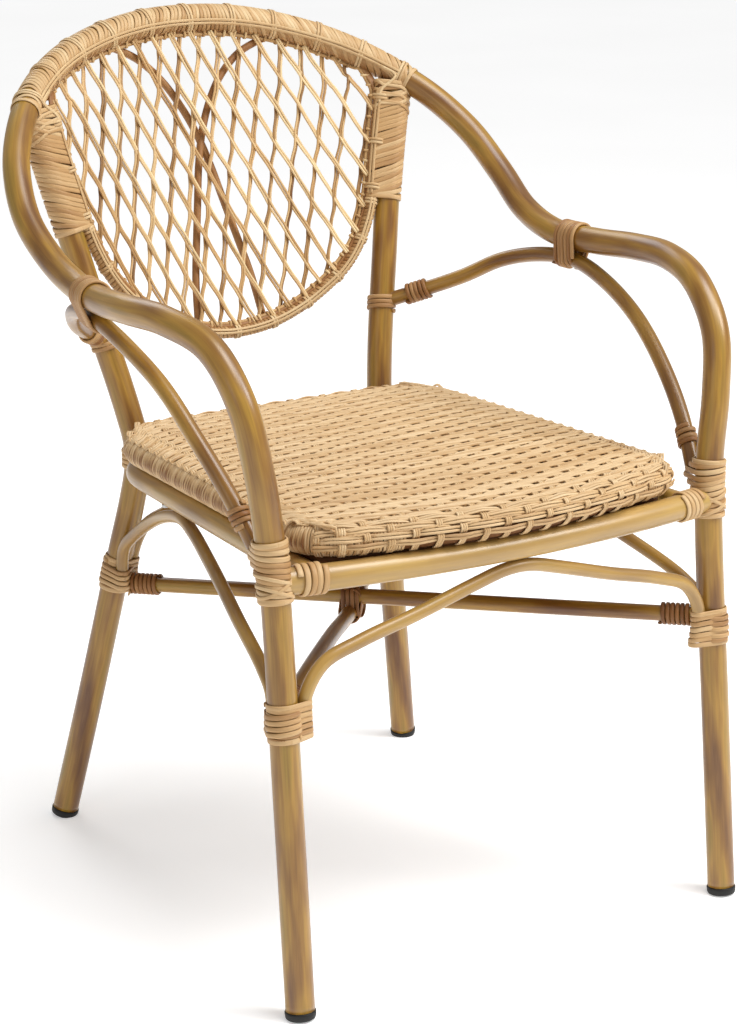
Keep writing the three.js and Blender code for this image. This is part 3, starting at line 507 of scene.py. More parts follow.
brace_crest = half_line.passing(1, BRACE_CREST_DEPTH) + vec(-4.0, 0.0, -BRACE_BESIDE)
brace_end = half_line.passing(2, BRACE_FRONT_HEIGHT) + vec(0.0, BRACE_BESIDE, 0.0)
arm_brace = Route.through(
    between(rear_leg.passing(2, BRACE_REAR_HEIGHT), brace_crest,
            [(0, 0, 0), (0.561, 0.315, 0.468), (0.79, 0.52, 0.805), (0.93, 0.763, 0.98)])
    + between(brace_crest, brace_end,
              [(0, 0, 0), (0.01, 0.226, 0.081), (0.177, 0.477, 0.243), (0.374, 0.684, 0.47),
               (0.66, 0.86, 0.72), (1, 1, 1)]))


def cross_arch(leg_point, rail_depth):
    """An arch brace from leg to leg, from points by their share of the way from apex to end."""
    return Route.through(both_halves(between(
        vec(0.0, rail_depth, ARCH_APEX_HEIGHT), leg_point - vec(ARCH_BESIDE, 0.0, 0.0),
        [(1, 1, 1), (1, 0.85, 0.72), (0.92, 0.7, 0.48), (0.757, 0.5, 0.36), (0.49, 0.3, 0.23),
         (0.23, 0.15, 0.09), (0.08, 0.05, 0.015), (0, 0, 0)])))


leg_at_arch = half_line.passing(2, ARCH_END_HEIGHT)
rear_at_arch = rear_leg.passing(2, ARCH_END_HEIGHT)
front_arch = cross_arch(leg_at_arch, leg_at_seat[1] - FRONT_RAIL_BOW)
rear_arch = cross_arch(rear_at_arch, REAR_RAIL_DEPTH)
arch_front = leg_at_arch + vec(0.0, ARCH_BESIDE, 0.0)
arch_rear = rear_at_arch - vec(0.0, ARCH_BESIDE, 0.0)
side_arch = Route.through([
    vec(arch_front[0] + (arch_rear[0] - arch_front[0]) * way - 12.0 * bow,
        arch_front[1] + (arch_rear[1] - arch_front[1]) * way,
        ARCH_END_HEIGHT + (ARCH_APEX_HEIGHT - ARCH_END_HEIGHT) * rise)
    for way, rise, bow in (
        (0, 0, 0), (0, 0.28, 0), (0.05, 0.42, 0), (0.209, 0.63, 0.15), (0.34, 0.77, 0.5),
        (0.456, 0.87, 0.85), (0.551, 0.96, 1), (0.62, 1, 1), (0.726, 0.92, 1), (0.833, 0.77, 0.95),
        (0.923, 0.58, 0.5), (0.985, 0.4, 0.1), (1, 0.25, 0), (1, 0, 0))])

stretcher_front = half_line.passing(2, STRETCHER_FRONT_HEIGHT)
stretcher_rear = rear_leg.passing(2, STRETCHER_REAR_HEIGHT)
upper_stretcher = Route.through([stretcher_front + (mirror(stretcher_rear) - stretcher_front) * k
                                 for k in np.linspace(0, 1, 6)])
lower_start = mirror(stretcher_front)
cross_share = stretcher_front[0] / (stretcher_front[0] + stretcher_rear[0])
lower_cross = lower_start + (stretcher_rear - lower_start) * cross_share
lower_stretcher = Route.through([
    start + (lower_cross - start) * share - vec(0.0, 0.0, STRETCHER_DIP * share ** 2)
    for start, shares in ((lower_start, (0, 0.35, 0.7, 1)), (stretcher_rear, (0.7, 0.35, 0)))
    for share in shares])


# The curved plane of the back

PANEL_SLOPE = (FRAME_DEPTH - RING_BOTTOM_DEPTH) / (HOOP_HEIGHT - RING_BOTTOM_HEIGHT)


def beside_leg(height):
    """The ring's axis where it runs down beside the rear leg."""
    return rear_leg.passing(2, height, last=True) - vec(RING_BESIDE, 0.0, 0.0)


ring_leave = beside_leg(RING_LEAVE_HEIGHT)
PANEL_HOLLOW = (RING_BOTTOM_DEPTH + PANEL_SLOPE * (RING_LEAVE_HEIGHT - RING_BOTTOM_HEIGHT)
                - ring_leave[1]) / ring_leave[0] ** 2


def panel_depth(x, z):
    return RING_BOTTOM_DEPTH + PANEL_SLOPE * (z - RING_BOTTOM_HEIGHT) - PANEL_HOLLOW * x ** 2


def panel_points(places, behind=0.0):
    return [vec(x, panel_depth(x, z) + behind, z) for x, z in places]


ring = Route.through(both_halves(
    [beside_leg(RING_LEAVE_HEIGHT + (POST_TOP_HEIGHT - RING_LEAVE_HEIGHT) * share)
     for share in (0.96, 0.75, 0.5, 0.25, 0)]
    + panel_points([(ring_leave[0] * way,
                     RING_BOTTOM_HEIGHT + (RING_LEAVE_HEIGHT - RING_BOTTOM_HEIGHT) * rise)
                    for way, rise in ((0.947, 0.794), (0.87, 0.596), (0.765, 0.419), (0.624, 0.272),
                                      (0.465, 0.147), (0.25, 0.04), (0, 0))])))

CANE_FOOT_HEIGHT = 520.1
CANE_TOP_HEIGHT = 808.8
CANE_BEHIND = 9.0
cane = Route.through(panel_points(
    [(across * (100.0 if across > 0 else 40.0),
      CANE_FOOT_HEIGHT + (CANE_TOP_HEIGHT - CANE_FOOT_HEIGHT) * rise)
     for across, rise in ((1, 1), (0.62, 0.94), (0.36, 0.86), (0.18, 0.77), (0.04, 0.67),
                          (-0.18, 0.55), (-0.4, 0.42), (-0.62, 0.29), (-0.85, 0.15), (-1, 0))],
    CANE_BEHIND))


# Tubes

BOTH_ENDS = (3.0, 3.0)
tube_piece("arm_and_hoop", "arm_and_hoop_tube", main_line, MAIN_RADIUS, 0.1)
# Its tone makes the front rail's paint the palest, as painted light for the strong light on its front
tube_piece("front_rail", "front_seat_rail", front_rail, RAIL_RADIUS, 1.0)
tube_piece("side_rail", "side_and_rear_seat_rail", side_rail, RAIL_RADIUS, 0.5)
tube_piece("front_arch", "front_arch_brace", front_arch, ARCH_RADIUS, 0.7, rounded=BOTH_ENDS)
tube_piece("rear_arch", "rear_arch_brace", rear_arch, ARCH_RADIUS, 0.4, rounded=BOTH_ENDS)
tube_piece("stretcher_upper", "upper_stretcher", upper_stretcher, BRACE_RADIUS, 0.0)
tube_piece("stretcher_lower", "lower_stretcher", lower_stretcher, BRACE_RADIUS, 0.0)
for side, right in HANDS:
    tube_piece("rear_leg_tube_" + side, "rear_leg_" + side, rear_leg.handed(right), MAIN_RADIUS, 0.0)
    tube_piece("arm_brace_tube_" + side, "arm_brace_" + side, arm_brace.handed(right), BRACE_RADIUS,
               0.1, rounded=(0.0, 3.0))
    tube_piece("side_arch_" + side, "side_arch_brace_" + side, side_arch.handed(right), ARCH_RADIUS,
               0.4, rounded=BOTH_ENDS)
tube_piece("ring_cane", "back_ring", ring, RING_RADIUS, 0.3, "strand_dark")


# Strands

STEPS_PER_TURN = 36
STEPS_PER_LOOP = 40


def oval(width, thickness, sides=8):
    """Section of a flat strand with its back at 0: pairs of across and up."""
    a = circle(sides, 0.5)
    across = width / 2 * np.sign(np.cos(a)) * np.abs(np.cos(a)) ** 0.75
    up = thickness / 2 * (1 + np.sign(np.sin(a)) * np.abs(np.sin(a)) ** 0.85)
    return np.stack([across, up], axis=1)


def lay(make, path, normal, section, tone=0.5, closed=False):
    """Sweeps a section along a path, its back against the surface under it."""
    t = heading(path, closed)
    n = square(normal, t)
    b = np.cross(n, t)
    rings = path[:, None] + b[:, None] * section[None, :, 0, None] + n[:, None] * section[None, :, 1, None]
    # Each strand begins elsewhere in the grain, so that no two look alike
    along = lengths(path) + make.count * 0.37
    if np.ndim(tone):
        tone = np.repeat(tone, len(section))
    make.sweep(rings, along, section, tone, closed)


def gentle(rng, turns, amount, per_turn=2.0):
    """A slowly wandering value along a winding."""
    count = max(3, int(turns[-1] * per_turn) + 3)
    return amount * np.interp(turns * per_turn, np.arange(count), rng.uniform(-1, 1, count))


class Around:
    """The outside of a route and of the members beside it, seen in planes across the route."""

    def __init__(self, main, radius, others=(), face=FRONT, fade=10.0):
        self.main, self.radius, self.others = main, radius, others
        self.face, self.fade = face, fade

    def axes(self, s):
        c, t, _, _ = self.main.frame(s)
        u = square(self.face, t)
        return c, t, u, np.cross(t, u)

    def at(self, s, angle, lift):
        """Points on the hull at lengths s and outward angles from the facing direction."""
        c, t, u, w = self.axes(s)
        out = u * np.cos(angle)[:, None] + w * np.sin(angle)[:, None]
        best = c + out * (self.radius + lift)
        reach = np.full(len(s), self.radius + lift)
        for other, radius in self.others:
            gap = other.p[None] - c[:, None]
            nearest = np.argmin(np.einsum("ijk,ijk->ij", gap, gap), axis=1)
            offset = gap[np.arange(len(s)), nearest]
            along = np.sum(offset * t, axis=1)
            share = np.clip(1.0 - (np.abs(along) - 2.0) / self.fade, 0.0, 1.0)
            share = np.where(share > 0.999, 1.0, share)
            offset = (offset - t * along[:, None]) * share[:, None]
            size = self.radius * (1 - share) + radius * share + lift
            support = np.sum(offset * out, axis=1) + size
            wins = support > reach
            best[wins] = (c + offset + out * size[:, None])[wins]
            reach = np.maximum(reach, support)
        return best, out

    def wind(self, make, low, high, width, thickness, gap=0.5, starts=1, lift=0.25, seed=0, tone=0.5,
             edges=False, turn=1.0, jitter=0.18, tilt=None, darker=0.0):
        """Strands wound side by side from one length to another.

        tilt leans the turns along the route, and darker darkens the colour of the side that its sign
        names, as painted shade for the side that lies in shadow.
        """
        rng = default_rng(seed)
        pitch = width + gap
        run = pitch * starts
        first, last = low + width / 2, high - width / 2
        for k in range(starts):
            turns = np.arange(0.0, (last - first) / run + 2.0, 1.0 / STEPS_PER_TURN)
            s = first - run + pitch * k + run * turns
            s = s + gentle(rng, turns, jitter)
            keep = (s >= first) & (s <= last)
            turns, s = turns[keep], s[keep]
            if len(s) < 4:
                continue
            angle = turn * turns * 2 * math.pi
            if tilt is not None:
                room = np.clip(np.minimum(s - first, last - s) / 14.0, 0, 1)
                path, _ = self.at(s, angle, lift)
                c, _, _, w = self.axes(s)
                across = np.sum((path - c) * w, axis=1) / self.radius
                lean = tilt(s) if callable(tilt) else tilt
                s = s + lean * room * across * (1 + gentle(rng, turns, 0.15))
            path, out = self.at(s, angle, lift)
            shade = tone + gentle(rng, turns - turns[0], 0.35, 1.0)
            # Painted shade: the side that the sign names is darkened as if in shadow
            shade = shade - abs(darker) * np.clip(np.sign(darker) * np.sin(angle) - 0.1, 0, 1)
            lay(make, path, out, oval(width, thickness), shade)
        if edges:
            for s in (first, last):
                self.loop(make, s, width, thickness, lift + 0.15, tone + 0.1)

    def loop(self, make, s, width, thickness, lift, tone, lean=0.0):
        angle = circle(STEPS_PER_LOOP)
        path, out = self.at(np.full(len(angle), float(s)) + lean * np.sin(angle), angle, lift)
        lay(make, path, out, oval(width, thickness), tone, closed=True)

    def runner(self, make, low, high, angle, width, thickness, lift, tone):
        """A strand laid along the outside, at one outward angle."""
        s = np.linspace(low, high, max(4, int((high - low) / 3.0)))
        path, out = self.at(s, np.full(len(s), float(angle)), lift)
        lay(make, path, out, oval(width, thickness), tone)

    def ties(self, make, rng, low, high, count, wander, half_gap, width, thickness, lift, lean=0.0):
        """Pairs of loops at about even steps."""
        for k in range(count + 1):
            s = low + (high - low) * k / count + rng.uniform(-wander, wander)
            for side in (-half_gap, half_gap):
                self.loop(make, s + side, width, thickness, lift, rng.uniform(0.5, 0.95), lean)


def wrap(name, node, around, low, high, width, thickness, surface="strand_light", **how):
    """One winding as a piece of its own."""
    make = Builder()
    around.wind(make, low, high, width, thickness, **how)
    make.piece(name, node, surface=surface)


# Windings of the hoop

# Heights at which the windings begin and end
HOOP_WRAP_LOW = 756.9
POST_WRAP_LOW = 631.9
RING_WRAP_LOW = 638.0
POST_BAND_MIDDLE = 524.0
FRONT_JOINT_LOW, FRONT_JOINT_HIGH = 386.0, 443.0
BRACE_END_HIGH = 444.0
LEG_WRAP_LOW, LEG_WRAP_HIGH = 259.5, 295.5

HOOP_TILT = 11.0
HOOP_TILT_TURNS_AT = 40.0
hoop_from = main_line.where(2, HOOP_WRAP_LOW)
hoop_to = main_line.total - hoop_from
hoop_around = Around(main_line, MAIN_RADIUS)


def hoop_tilt(s):
    """The turns lean up towards the crown from both sides."""
    return HOOP_TILT * np.tanh((main_line.where(0, HOOP_TILT_TURNS_AT) - s) / 60.0)


# The undersides of the hoop's turns, below the runners, get painted shade
wrap("hoop_wrap", "hoop_lashing", hoop_around, hoop_from, hoop_to, 4.3, 1.3, gap=0.4, starts=5,
     lift=0.1, seed=1, tone=0.55, jitter=0.3, tilt=hoop_tilt, darker=-0.7, edges=True)
make = Builder()
low, high = hoop_from + 14.0, hoop_to - 14.0
for angle in (-0.27, -0.03):
    hoop_around.runner(make, low, high, angle, 3.0, 1.4, 1.35, 0.6)
hoop_around.ties(make, default_rng(2), low, high, int((high - low) / 47.0), 3, 1.75,
                 2.9, 1.2, 1.4, 2.0)
make.piece("hoop_ties")


# Windings that the chair has on both sides

def side_windings(side, right):
    """All windings of one side, each with its own seed and turning inwards over the front."""
    spin, seed, hoop_end = (-1.0, 10, hoop_to) if right else (1.0, 20, hoop_from)
    leg, ring_side, brace_route, front_leg = (
        route.handed(right) for route in (rear_leg, ring, arm_brace, half_line))

    def lash(name, around, low, high, width, thickness, gap, number, tone, jitter=0.35, lift=0.25):
        wrap(name + "_wrap_" + side, name + "_lashing_" + side, around, low, high, width, thickness,
             gap=gap, seed=seed + number, turn=spin, tone=tone, jitter=jitter, lift=lift)

    make = Builder()
    post = Around(leg, MAIN_RADIUS, [(ring_side, RING_RADIUS)])
    low, high = leg.where(2, POST_WRAP_LOW, last=True), leg.total - 8.0
    post.wind(make, low, high, 5.0, 1.6, gap=0.1, starts=3, seed=seed, tone=0.4, turn=spin,
              jitter=0.8, tilt=6.0 * spin, edges=True)
    rng = default_rng(seed + 30)
    for k in range(5):
        post.loop(make, high - 9.0 - 4.5 * k, 3.4, 1.2, 1.7, rng.uniform(0.2, 0.8),
                  (8.0 if k % 2 else -7.0) * spin)
    make.piece("post_wrap_" + side, "post_lashing_" + side)

    # Two runners, three strands up to the hoop and ties round the ring beside the post
    make = Builder()
    rng = default_rng(seed + 31)
    for angle in (-0.7, -1.2):
        post.runner(make, low + 4.0, high - 22.0, angle * spin, 2.9, 1.4, 1.7, 0.6)
    for k in range(3):
        above, _ = hoop_around.at(hoop_end + spin * vec(34.0 + 3.2 * k, 16.0),
                                  vec(-0.27, -0.4 - 0.2 * k), 2.0)
        below, _ = post.at(high - vec(12.0, 26.0), vec(-0.55, -0.7) * spin - 0.22 * k * spin, 1.9)
        lay(make, smooth_curve([*above, *below], 8), vec(-0.3 * spin, -1.0, 0.0), oval(3.0, 1.4),
            rng.uniform(0.3, 0.9))
    beside = Around(ring_side, RING_RADIUS + 1.6)
    for z in np.arange(648.0, 750.0, 47.0):
        for gap in (-1.7, 1.7):
            beside.loop(make, ring_side.where(2, z) + gap, 2.9, 1.2, 1.5, rng.uniform(0.4, 0.95))
    make.piece("post_ties_" + side)

    brace = Around(brace_route, BRACE_RADIUS)
    arm = Around(front_leg, MAIN_RADIUS, [(brace_route, BRACE_RADIUS)])
    leg_only = Around(leg, MAIN_RADIUS)
    middle = half_line.where(1, BRACE_CREST_DEPTH + 6.0)
    lash("arm", arm, middle - 16.5, middle + 16.5, 4.6, 3.2, 0.3, 1, 0.0, lift=0.3)
    lash("brace", brace, 27.5, 57.0, 4.4, 3.4, 0.4, 2, -0.1)
    middle = rear_leg.where(2, POST_BAND_MIDDLE)
    lash("post_brace", leg_only, middle - 10.5, middle + 10.5, 4.6, 2.2, 0.4, 3, 0.1)

    make = Builder()
    joint = Around(front_leg, MAIN_RADIUS, [(brace_route, BRACE_RADIUS)], fade=14.0)
    joint.wind(make, half_line.where(2, FRONT_JOINT_LOW), half_line.where(2, FRONT_JOINT_HIGH), 5.2,
               2.4, gap=0.35, seed=seed + 4, turn=spin, tone=0.4, jitter=0.8, tilt=1.8 * spin,
               edges=True)
    rng = default_rng(seed + 32)
    for z, lean in ((396.0, 7.0), (401.0, -8.0), (407.0, 6.0)):
        joint.loop(make, half_line.where(2, z), 3.6, 1.4, 2.3, rng.uniform(0.2, 0.8), lean * spin)
    make.piece("front_joint_wrap_" + side, "front_joint_lashing_" + side)

    stop = brace_route.where(2, BRACE_END_HIGH, last=True)
    lash("brace_end", brace, stop - 25.0, stop, 4.6, 2.4, 0.5, 5, -0.1, 0.5)
    lash("rail", Around(front_rail.handed(right), RAIL_RADIUS), 18.0, 48.5, 5.4, 2.4, 0.6, 6, 0.45, 0.6)

    for end, main, arch in (("front", half_line, front_arch), ("rear", rear_leg, rear_arch)):
        make = Builder()
        low, high = main.where(2, LEG_WRAP_LOW), main.where(2, LEG_WRAP_HIGH)
        main = main.handed(right)
        cross = Around(main, MAIN_RADIUS, [(arch.handed(right), ARCH_RADIUS)], fade=30.0)
        along = Around(main, MAIN_RADIUS + 1.3, [(side_arch.handed(right), ARCH_RADIUS)], fade=30.0)
        cross.wind(make, low, high, 5.0, 1.4, seed=seed + 7, turn=spin, tone=0.35, jitter=0.6,
                   edges=True)
        along.wind(make, low + 2.0, high - 3.0, 4.6, 1.6, gap=1.0, seed=seed + 8, turn=-spin,
                   tone=0.25, jitter=0.8)
        make.piece(end + "_leg_wrap_" + side, end + "_leg_lashing_" + side)

    middle = rear_leg.where(2, SEAT_RAIL_HEIGHT)
    lash("rear_joint", leg_only, middle - 12.0, middle + 12.0, 4.8, 2.4, 0.4, 9, 0.4, 0.18)


for side, right in HANDS:
    side_windings(side, right)


# Windings of the stretchers and the ring

for name, route in (("upper", upper_stretcher), ("lower", lower_stretcher)):
    for end, low in (("front", 17.0), ("rear", route.total - 53.0)):
        wrap(name + "_stretcher_wrap_" + end, name + "_stretcher_" + end + "_lashing",
             Around(route, BRACE_RADIUS, face=UP), low, low + 36.0, 4.3, 3.2, "strand_dark",
             seed=len(name + end), tone=0.1)

# Two windings over both stretchers, one along each, the second over the first
make = Builder()
for route, other, reach, lift, seed in ((upper_stretcher, lower_stretcher, 13.0, 0.25, 71),
                                        (lower_stretcher, upper_stretcher, 11.0, 2.2, 72)):
    around = Around(route, BRACE_RADIUS, [(other, BRACE_RADIUS)], face=UP, fade=40.0)
    middle = route.nearest(lower_cross)
    around.wind(make, middle - reach, middle + reach, 4.4, 2.0, lift=lift, seed=seed, tone=0.15)
make.piece("crossing_wrap", "stretcher_crossing_lashing", surface="strand_dark")

ring_around = Around(ring, RING_RADIUS)
low = ring.where(2, RING_WRAP_LOW)
high = ring.total - low
# The inner side of the ring's turns gets painted shade
wrap("ring_wrap", "ring_lashing", ring_around, low, high, 4.2, 1.1, gap=0.4, starts=2, lift=0.1,
     seed=3, tone=0.4, jitter=0.4, darker=0.6, edges=True)
make = Builder()
for angle in (0.05, 0.55):
    ring_around.runner(make, low + 2.0, high - 2.0, angle, 2.8, 1.3, 1.15, 0.75)
ring_around.ties(make, default_rng(4), low + 4.0, high - 4.0, int((high - low) / 44.0), 2,
                 1.7, 2.8, 1.1, 1.2)
make.piece("ring_ties")


# The edge of the lattice, inside the hoop and the ring

CELL_WIDTH = 24.0
CELL_HEIGHT = 64.0
LATTICE_LEAN = -0.1
LATTICE_PINCH = 0.8
LATTICE_MIDDLE_HEIGHT = (RING_BOTTOM_HEIGHT + HOOP_HEIGHT) / 2
RIM_RADIUS = 2.0
RIM_SHADOW_STRIP_WIDTH = 8.4
RIM_SHADOW_STRIP_SHIFT = 4.4
NET_EDGE = 48.0


def surround():
    """The axes of the ring and the hoop round the back: X, Z, Y and how far inside the rim rod lies."""
    low = ring.p[ring.p[:, 2] < POST_TOP_HEIGHT - MAIN_RADIUS][::-1]
    high = main_line.p[(main_line.p[:, 2] > ARM_HEIGHT) & (np.abs(main_line.p[:, 0]) < ring.p[0, 0])
                       & (main_line.p[:, 1] > RING_BOTTOM_DEPTH)]
    parts = [np.column_stack([rows[:, [0, 2, 1]], np.full(len(rows), inset)]) for rows, inset in (
        (low, RING_RADIUS + 1.5 + RIM_RADIUS), (high, MAIN_RADIUS + 1.0 + RIM_RADIUS))]
    return resampled(np.concatenate(parts), 3.0, 2)


both = surround()
inward = -outward_of(both[:, :2], closed=True)


def inside_by(inset):
    return resampled(smoothed(both[:, :2] + inward * inset, 5), 3.0)


rim_line = inside_by(both[:, 3:4])
edge_shift = smoothed(both[:, 2] - panel_depth(both[:, 0], both[:, 1]), 20)


def on_panel(xz, forward=0.0):
    """Points of the net, which leaves its hollow surface near the edge to meet the hoop and the ring."""
    x, z = xz[:, 0], xz[:, 1]
    away = np.linalg.norm(xz[:, None] - both[None, :, :2], axis=2)
    nearest = np.argmin(away, axis=1)
    share = eased(np.clip(1 - (away[np.arange(len(xz)), nearest] - 12.0) / NET_EDGE, 0, 1))
    return np.stack([x, panel_depth(x, z) + edge_shift[nearest] * share - forward, z], axis=1)


def lattice_rim():
    """The thin rod inside the hoop and ring, and the short loops that bind it to them."""
    make = Builder()
    rng = default_rng(5)
    rim = Route(on_panel(np.concatenate([rim_line, rim_line[:2]])))
    make.sweep(*tube_rings(rim, RIM_RADIUS, 10, 3.0), 0.25)
    around = Around(rim, RIM_RADIUS)
    count = int(rim.total / (CELL_WIDTH / 2))
    for k in range(count):
        c, t, _, _ = around.axes(rim.total * (k + 0.5) / count + rng.uniform(-1.2, 1.2))
        outer = both[np.argmin(np.linalg.norm(both[:, :2] - c[[0, 2]], axis=1)), :2]
        away = unit(vec(outer[0] - c[0], 0.0, outer[1] - c[2]))
        arc = [c + (RIM_RADIUS + 0.1) * (FRONT * math.cos(a) - away * math.sin(a))
               for a in np.linspace(0.0, math.pi, 10)]
        lead = t * rng.uniform(-1.5, 1.5)
        start = c + away * 7.0 + FRONT * (RIM_RADIUS + 0.6) + lead
        stop = c + away * 7.0 - FRONT * (RIM_RADIUS + 0.4) - lead
        path = smooth_curve([start] + arc[::3] + [stop], 5)
        lay(make, path, unit(path - c), oval(2.9, 1.3, 6), rng.uniform(0.1, 0.8))
    make.piece("lattice_rim", surface="lattice_strand")


def rim_shadow_strip():
    """A flat strand that closes the gap between the rim rod and the hoop or ring, made dark as painted
    shadow in that gap.
    """
    make = Builder()
    path = on_panel(inside_by(both[:, 3:4] - RIM_SHADOW_STRIP_SHIFT))
    lay(make, path, FRONT, oval(RIM_SHADOW_STRIP_WIDTH, 2.0), 0.4, closed=True)
    make.piece("rim_shadow_strip", surface="strand_dark")


lattice_rim()
rim_shadow_strip()


# The net of the lattice

def inside(p, polygon):
    """Even-odd test of points against a closed polygon."""
    a, b = polygon, np.roll(polygon, -1, axis=0)
    x, z = p[:, 0][:, None], p[:, 1][:, None]
    crosses = (a[:, 1] > z) != (b[:, 1] > z)
    with np.errstate(divide="ignore", invalid="ignore"):
        where = a[:, 0] + (z - a[:, 1]) / (b[:, 1] - a[:, 1]) * (b[:, 0] - a[:, 0])
    return np.sum(crosses & (x < where), axis=1) % 2 == 1


def net_line(way, k):
    """Points of one line of the net from rim to rim, with each point's count of crossings."""
    t = np.linspace(-20.0, 20.0, 4001)
    z = RING_BOTTOM_HEIGHT + CELL_HEIGHT * ((k + 0.5) + way * t / 2)
    x = t * CELL_WIDTH / 2 + LATTICE_LEAN * (z - LATTICE_MIDDLE_HEIGHT)
    xz = np.stack([x, z], axis=1)
    index = np.nonzero(inside(xz, rim_line))[0]
    run = max(np.split(index, np.nonzero(np.diff(index) > 1)[0] + 1), key=len)
    low, high = max(run[0] - 12, 0), min(run[-1] + 12, len(t) - 1)
    return xz[low:high:6], t[low:high:6]


def lattice_net():
    """Pairs of strands, rising and falling, each over and under the others by turns."""
    make = Builder()
    rng = default_rng(6)
    step = 6 * 0.01 * (math.hypot(CELL_WIDTH, CELL_HEIGHT) / 2)
    for way, lines, offset, edge, pinched, shift in ((1.0, range(-5, 11), -0.9, -3.0, 1.0, -0.2),
                                                     (-1.0, range(-5, 12), 1.0, 3.6, 0.4, 0.2)):
        for k in lines:
            xz, t = net_line(way, k)
            # Crossings come at whole and half steps of the other family
            other = (k + 0.5) + way * t - 0.5
            phase = np.cos(math.pi * (other - (k + 1 if way > 0 else k)))
            to_end = np.minimum(np.arange(len(t)), np.arange(len(t))[::-1]) * step
            hook = np.clip(1 - to_end / 14.0, 0, 1)
            forward = (0.9 * phase + offset) * (1 - hook) + edge * hook
            wander = np.interp(t, np.linspace(t[0], t[-1], 6), rng.uniform(-0.9, 0.9, 6)) * (1 - hook)
            base = on_panel(xz, forward)
            direction = heading(base)
            front = square(FRONT, direction)
            beside = np.cross(front, direction)
            pinch = pinched * LATTICE_PINCH * np.sin(2 * math.pi * other) * (1 - hook)
            base = base + beside * (wander + pinch)[:, None]
            twist = 0.45 * np.sin(t * 1.3 + rng.uniform(0, 6.28)) + rng.uniform(-0.15, 0.15)
            spread = 1.34 + 0.2 * np.sin(t * 0.9 + rng.uniform(0, 6.28))
            for sign in (-1.0, 1.0):
                out = (beside * np.cos(twist)[:, None] + front * np.sin(twist)[:, None]) * sign
                # shift makes the rising strands, which lie behind, darker and the falling strands, in
                # front, lighter: painted shade and painted light
                tone = rng.uniform(0.1, 0.9) + 0.1 * np.sin(t * 0.7) + shift
                lay(make, base + out * spread[:, None] - front * 1.15, front, oval(2.7, 2.3), tone)
    make.piece("lattice_net", "back_lattice", surface="lattice_strand")


lattice_net()

# The two canes behind it cross, one behind the other
for side, right in HANDS:
    tube_piece("cane_" + side, "back_cane_" + side,
               Route(cane.handed(right).p + vec(0.0, 1.5 * right, 0.0)), CANE_RADIUS,
               0.6 if right else 0.35, "strand_dark", step=5.0)


# The seat's outline, seen from above

SEAT_FRONT_HALF_WIDTH = 217.0
SEAT_REAR_HALF_WIDTH = 200.0
SEAT_FRONT_BOW = 24.0
SEAT_REAR_DEPTH = 466.0
SEAT_FRONT_CORNER = 60.0
SEAT_REAR_CORNER = 72.0
SEAT_THICKNESS = 29.0
SEAT_CROWN = 8.0
SEAT_BOTTOM = SEAT_RAIL_HEIGHT + 12.5 + 0.3
SEAT_CENTRE = vec(0.0, (SEAT_FRONT_DEPTH + SEAT_REAR_DEPTH) / 2)
WEFT_PITCH = 5.7
WARP_PITCH = 21.4
WEFTS = int(round((SEAT_REAR_DEPTH - SEAT_FRONT_DEPTH) / WEFT_PITCH))
WARPS = int(round(2 * 208.0 / WARP_PITCH))
FLIP = vec(-1.0, 1.0)


def arc(x, y, radius, low, high, count):
    a = np.linspace(low, high, count)
    return np.stack([x + radius * np.cos(a), y + radius * np.sin(a)], axis=1)


def seat_half_outline():
    """Half of the seat's outline, front to rear: its end, corner, side, corner and end."""
    fx = SEAT_FRONT_HALF_WIDTH - SEAT_FRONT_CORNER
    fy = SEAT_FRONT_DEPTH + SEAT_FRONT_BOW + SEAT_FRONT_CORNER
    rx = SEAT_REAR_HALF_WIDTH - SEAT_REAR_CORNER
    ry = SEAT_REAR_DEPTH - SEAT_REAR_CORNER
    x = np.linspace(0, fx, 40, endpoint=False)
    front = np.stack([x, SEAT_FRONT_DEPTH + SEAT_FRONT_BOW * (x / fx) ** 2], axis=1)
    share = np.linspace(0, 1, 42)[1:-1]
    side = np.stack([SEAT_FRONT_HALF_WIDTH + (SEAT_REAR_HALF_WIDTH - SEAT_FRONT_HALF_WIDTH) * share,
                     fy + (ry - fy) * share], axis=1)
    rear = np.stack([np.linspace(rx, 0, 26)[1:], np.full(25, SEAT_REAR_DEPTH)], axis=1)
    return (front, arc(fx, fy, SEAT_FRONT_CORNER, -math.pi / 2, 0, 24), side,
            arc(rx, ry, SEAT_REAR_CORNER, 0, math.pi / 2, 30), rear)


class Edge:
    """An open edge of the seat, by share of its length, with its outward direction."""

    def __init__(self, p):
        self.p = p
        d = lengths(p)
        self.length = d[-1]
        self.share = d / d[-1]
        self.out = outward_of(p)

    def end(self, share):
        """The points at these shares and their outward directions."""
        return read_off(share, self.share, self.p), unit(read_off(share, self.share, self.out))


# The corners are shared out: their first points belong to one edge and the rest to the next

FRONT_SPLIT, REAR_SPLIT = 15, 13
front_part, front_corner, side_part, rear_corner, rear_part = seat_half_outline()
half_front = np.concatenate([front_part, front_corner[:FRONT_SPLIT + 1]])
half_side = np.concatenate([front_corner[FRONT_SPLIT:], side_part, rear_corner[:REAR_SPLIT + 1]])
half_rear = np.concatenate([rear_corner[REAR_SPLIT:], rear_part])
seat_front = Edge(np.concatenate([(half_front * FLIP)[:0:-1], half_front]))
seat_side = Edge(half_side)
seat_rear = Edge(np.concatenate([half_rear, (half_rear * FLIP)[-2::-1]]))
whole = np.concatenate([half_front, half_side[1:], half_rear[1:]])
seat_loop = np.concatenate([whole, (whole * FLIP)[-2:0:-1]])
reach_angle = np.arctan2(seat_loop[:, 1] - SEAT_CENTRE[1], seat_loop[:, 0])
reach_order = np.argsort(reach_angle)
reach_angle = reach_angle[reach_order]
reach_size = np.linalg.norm(seat_loop - SEAT_CENTRE, axis=1)[reach_order]


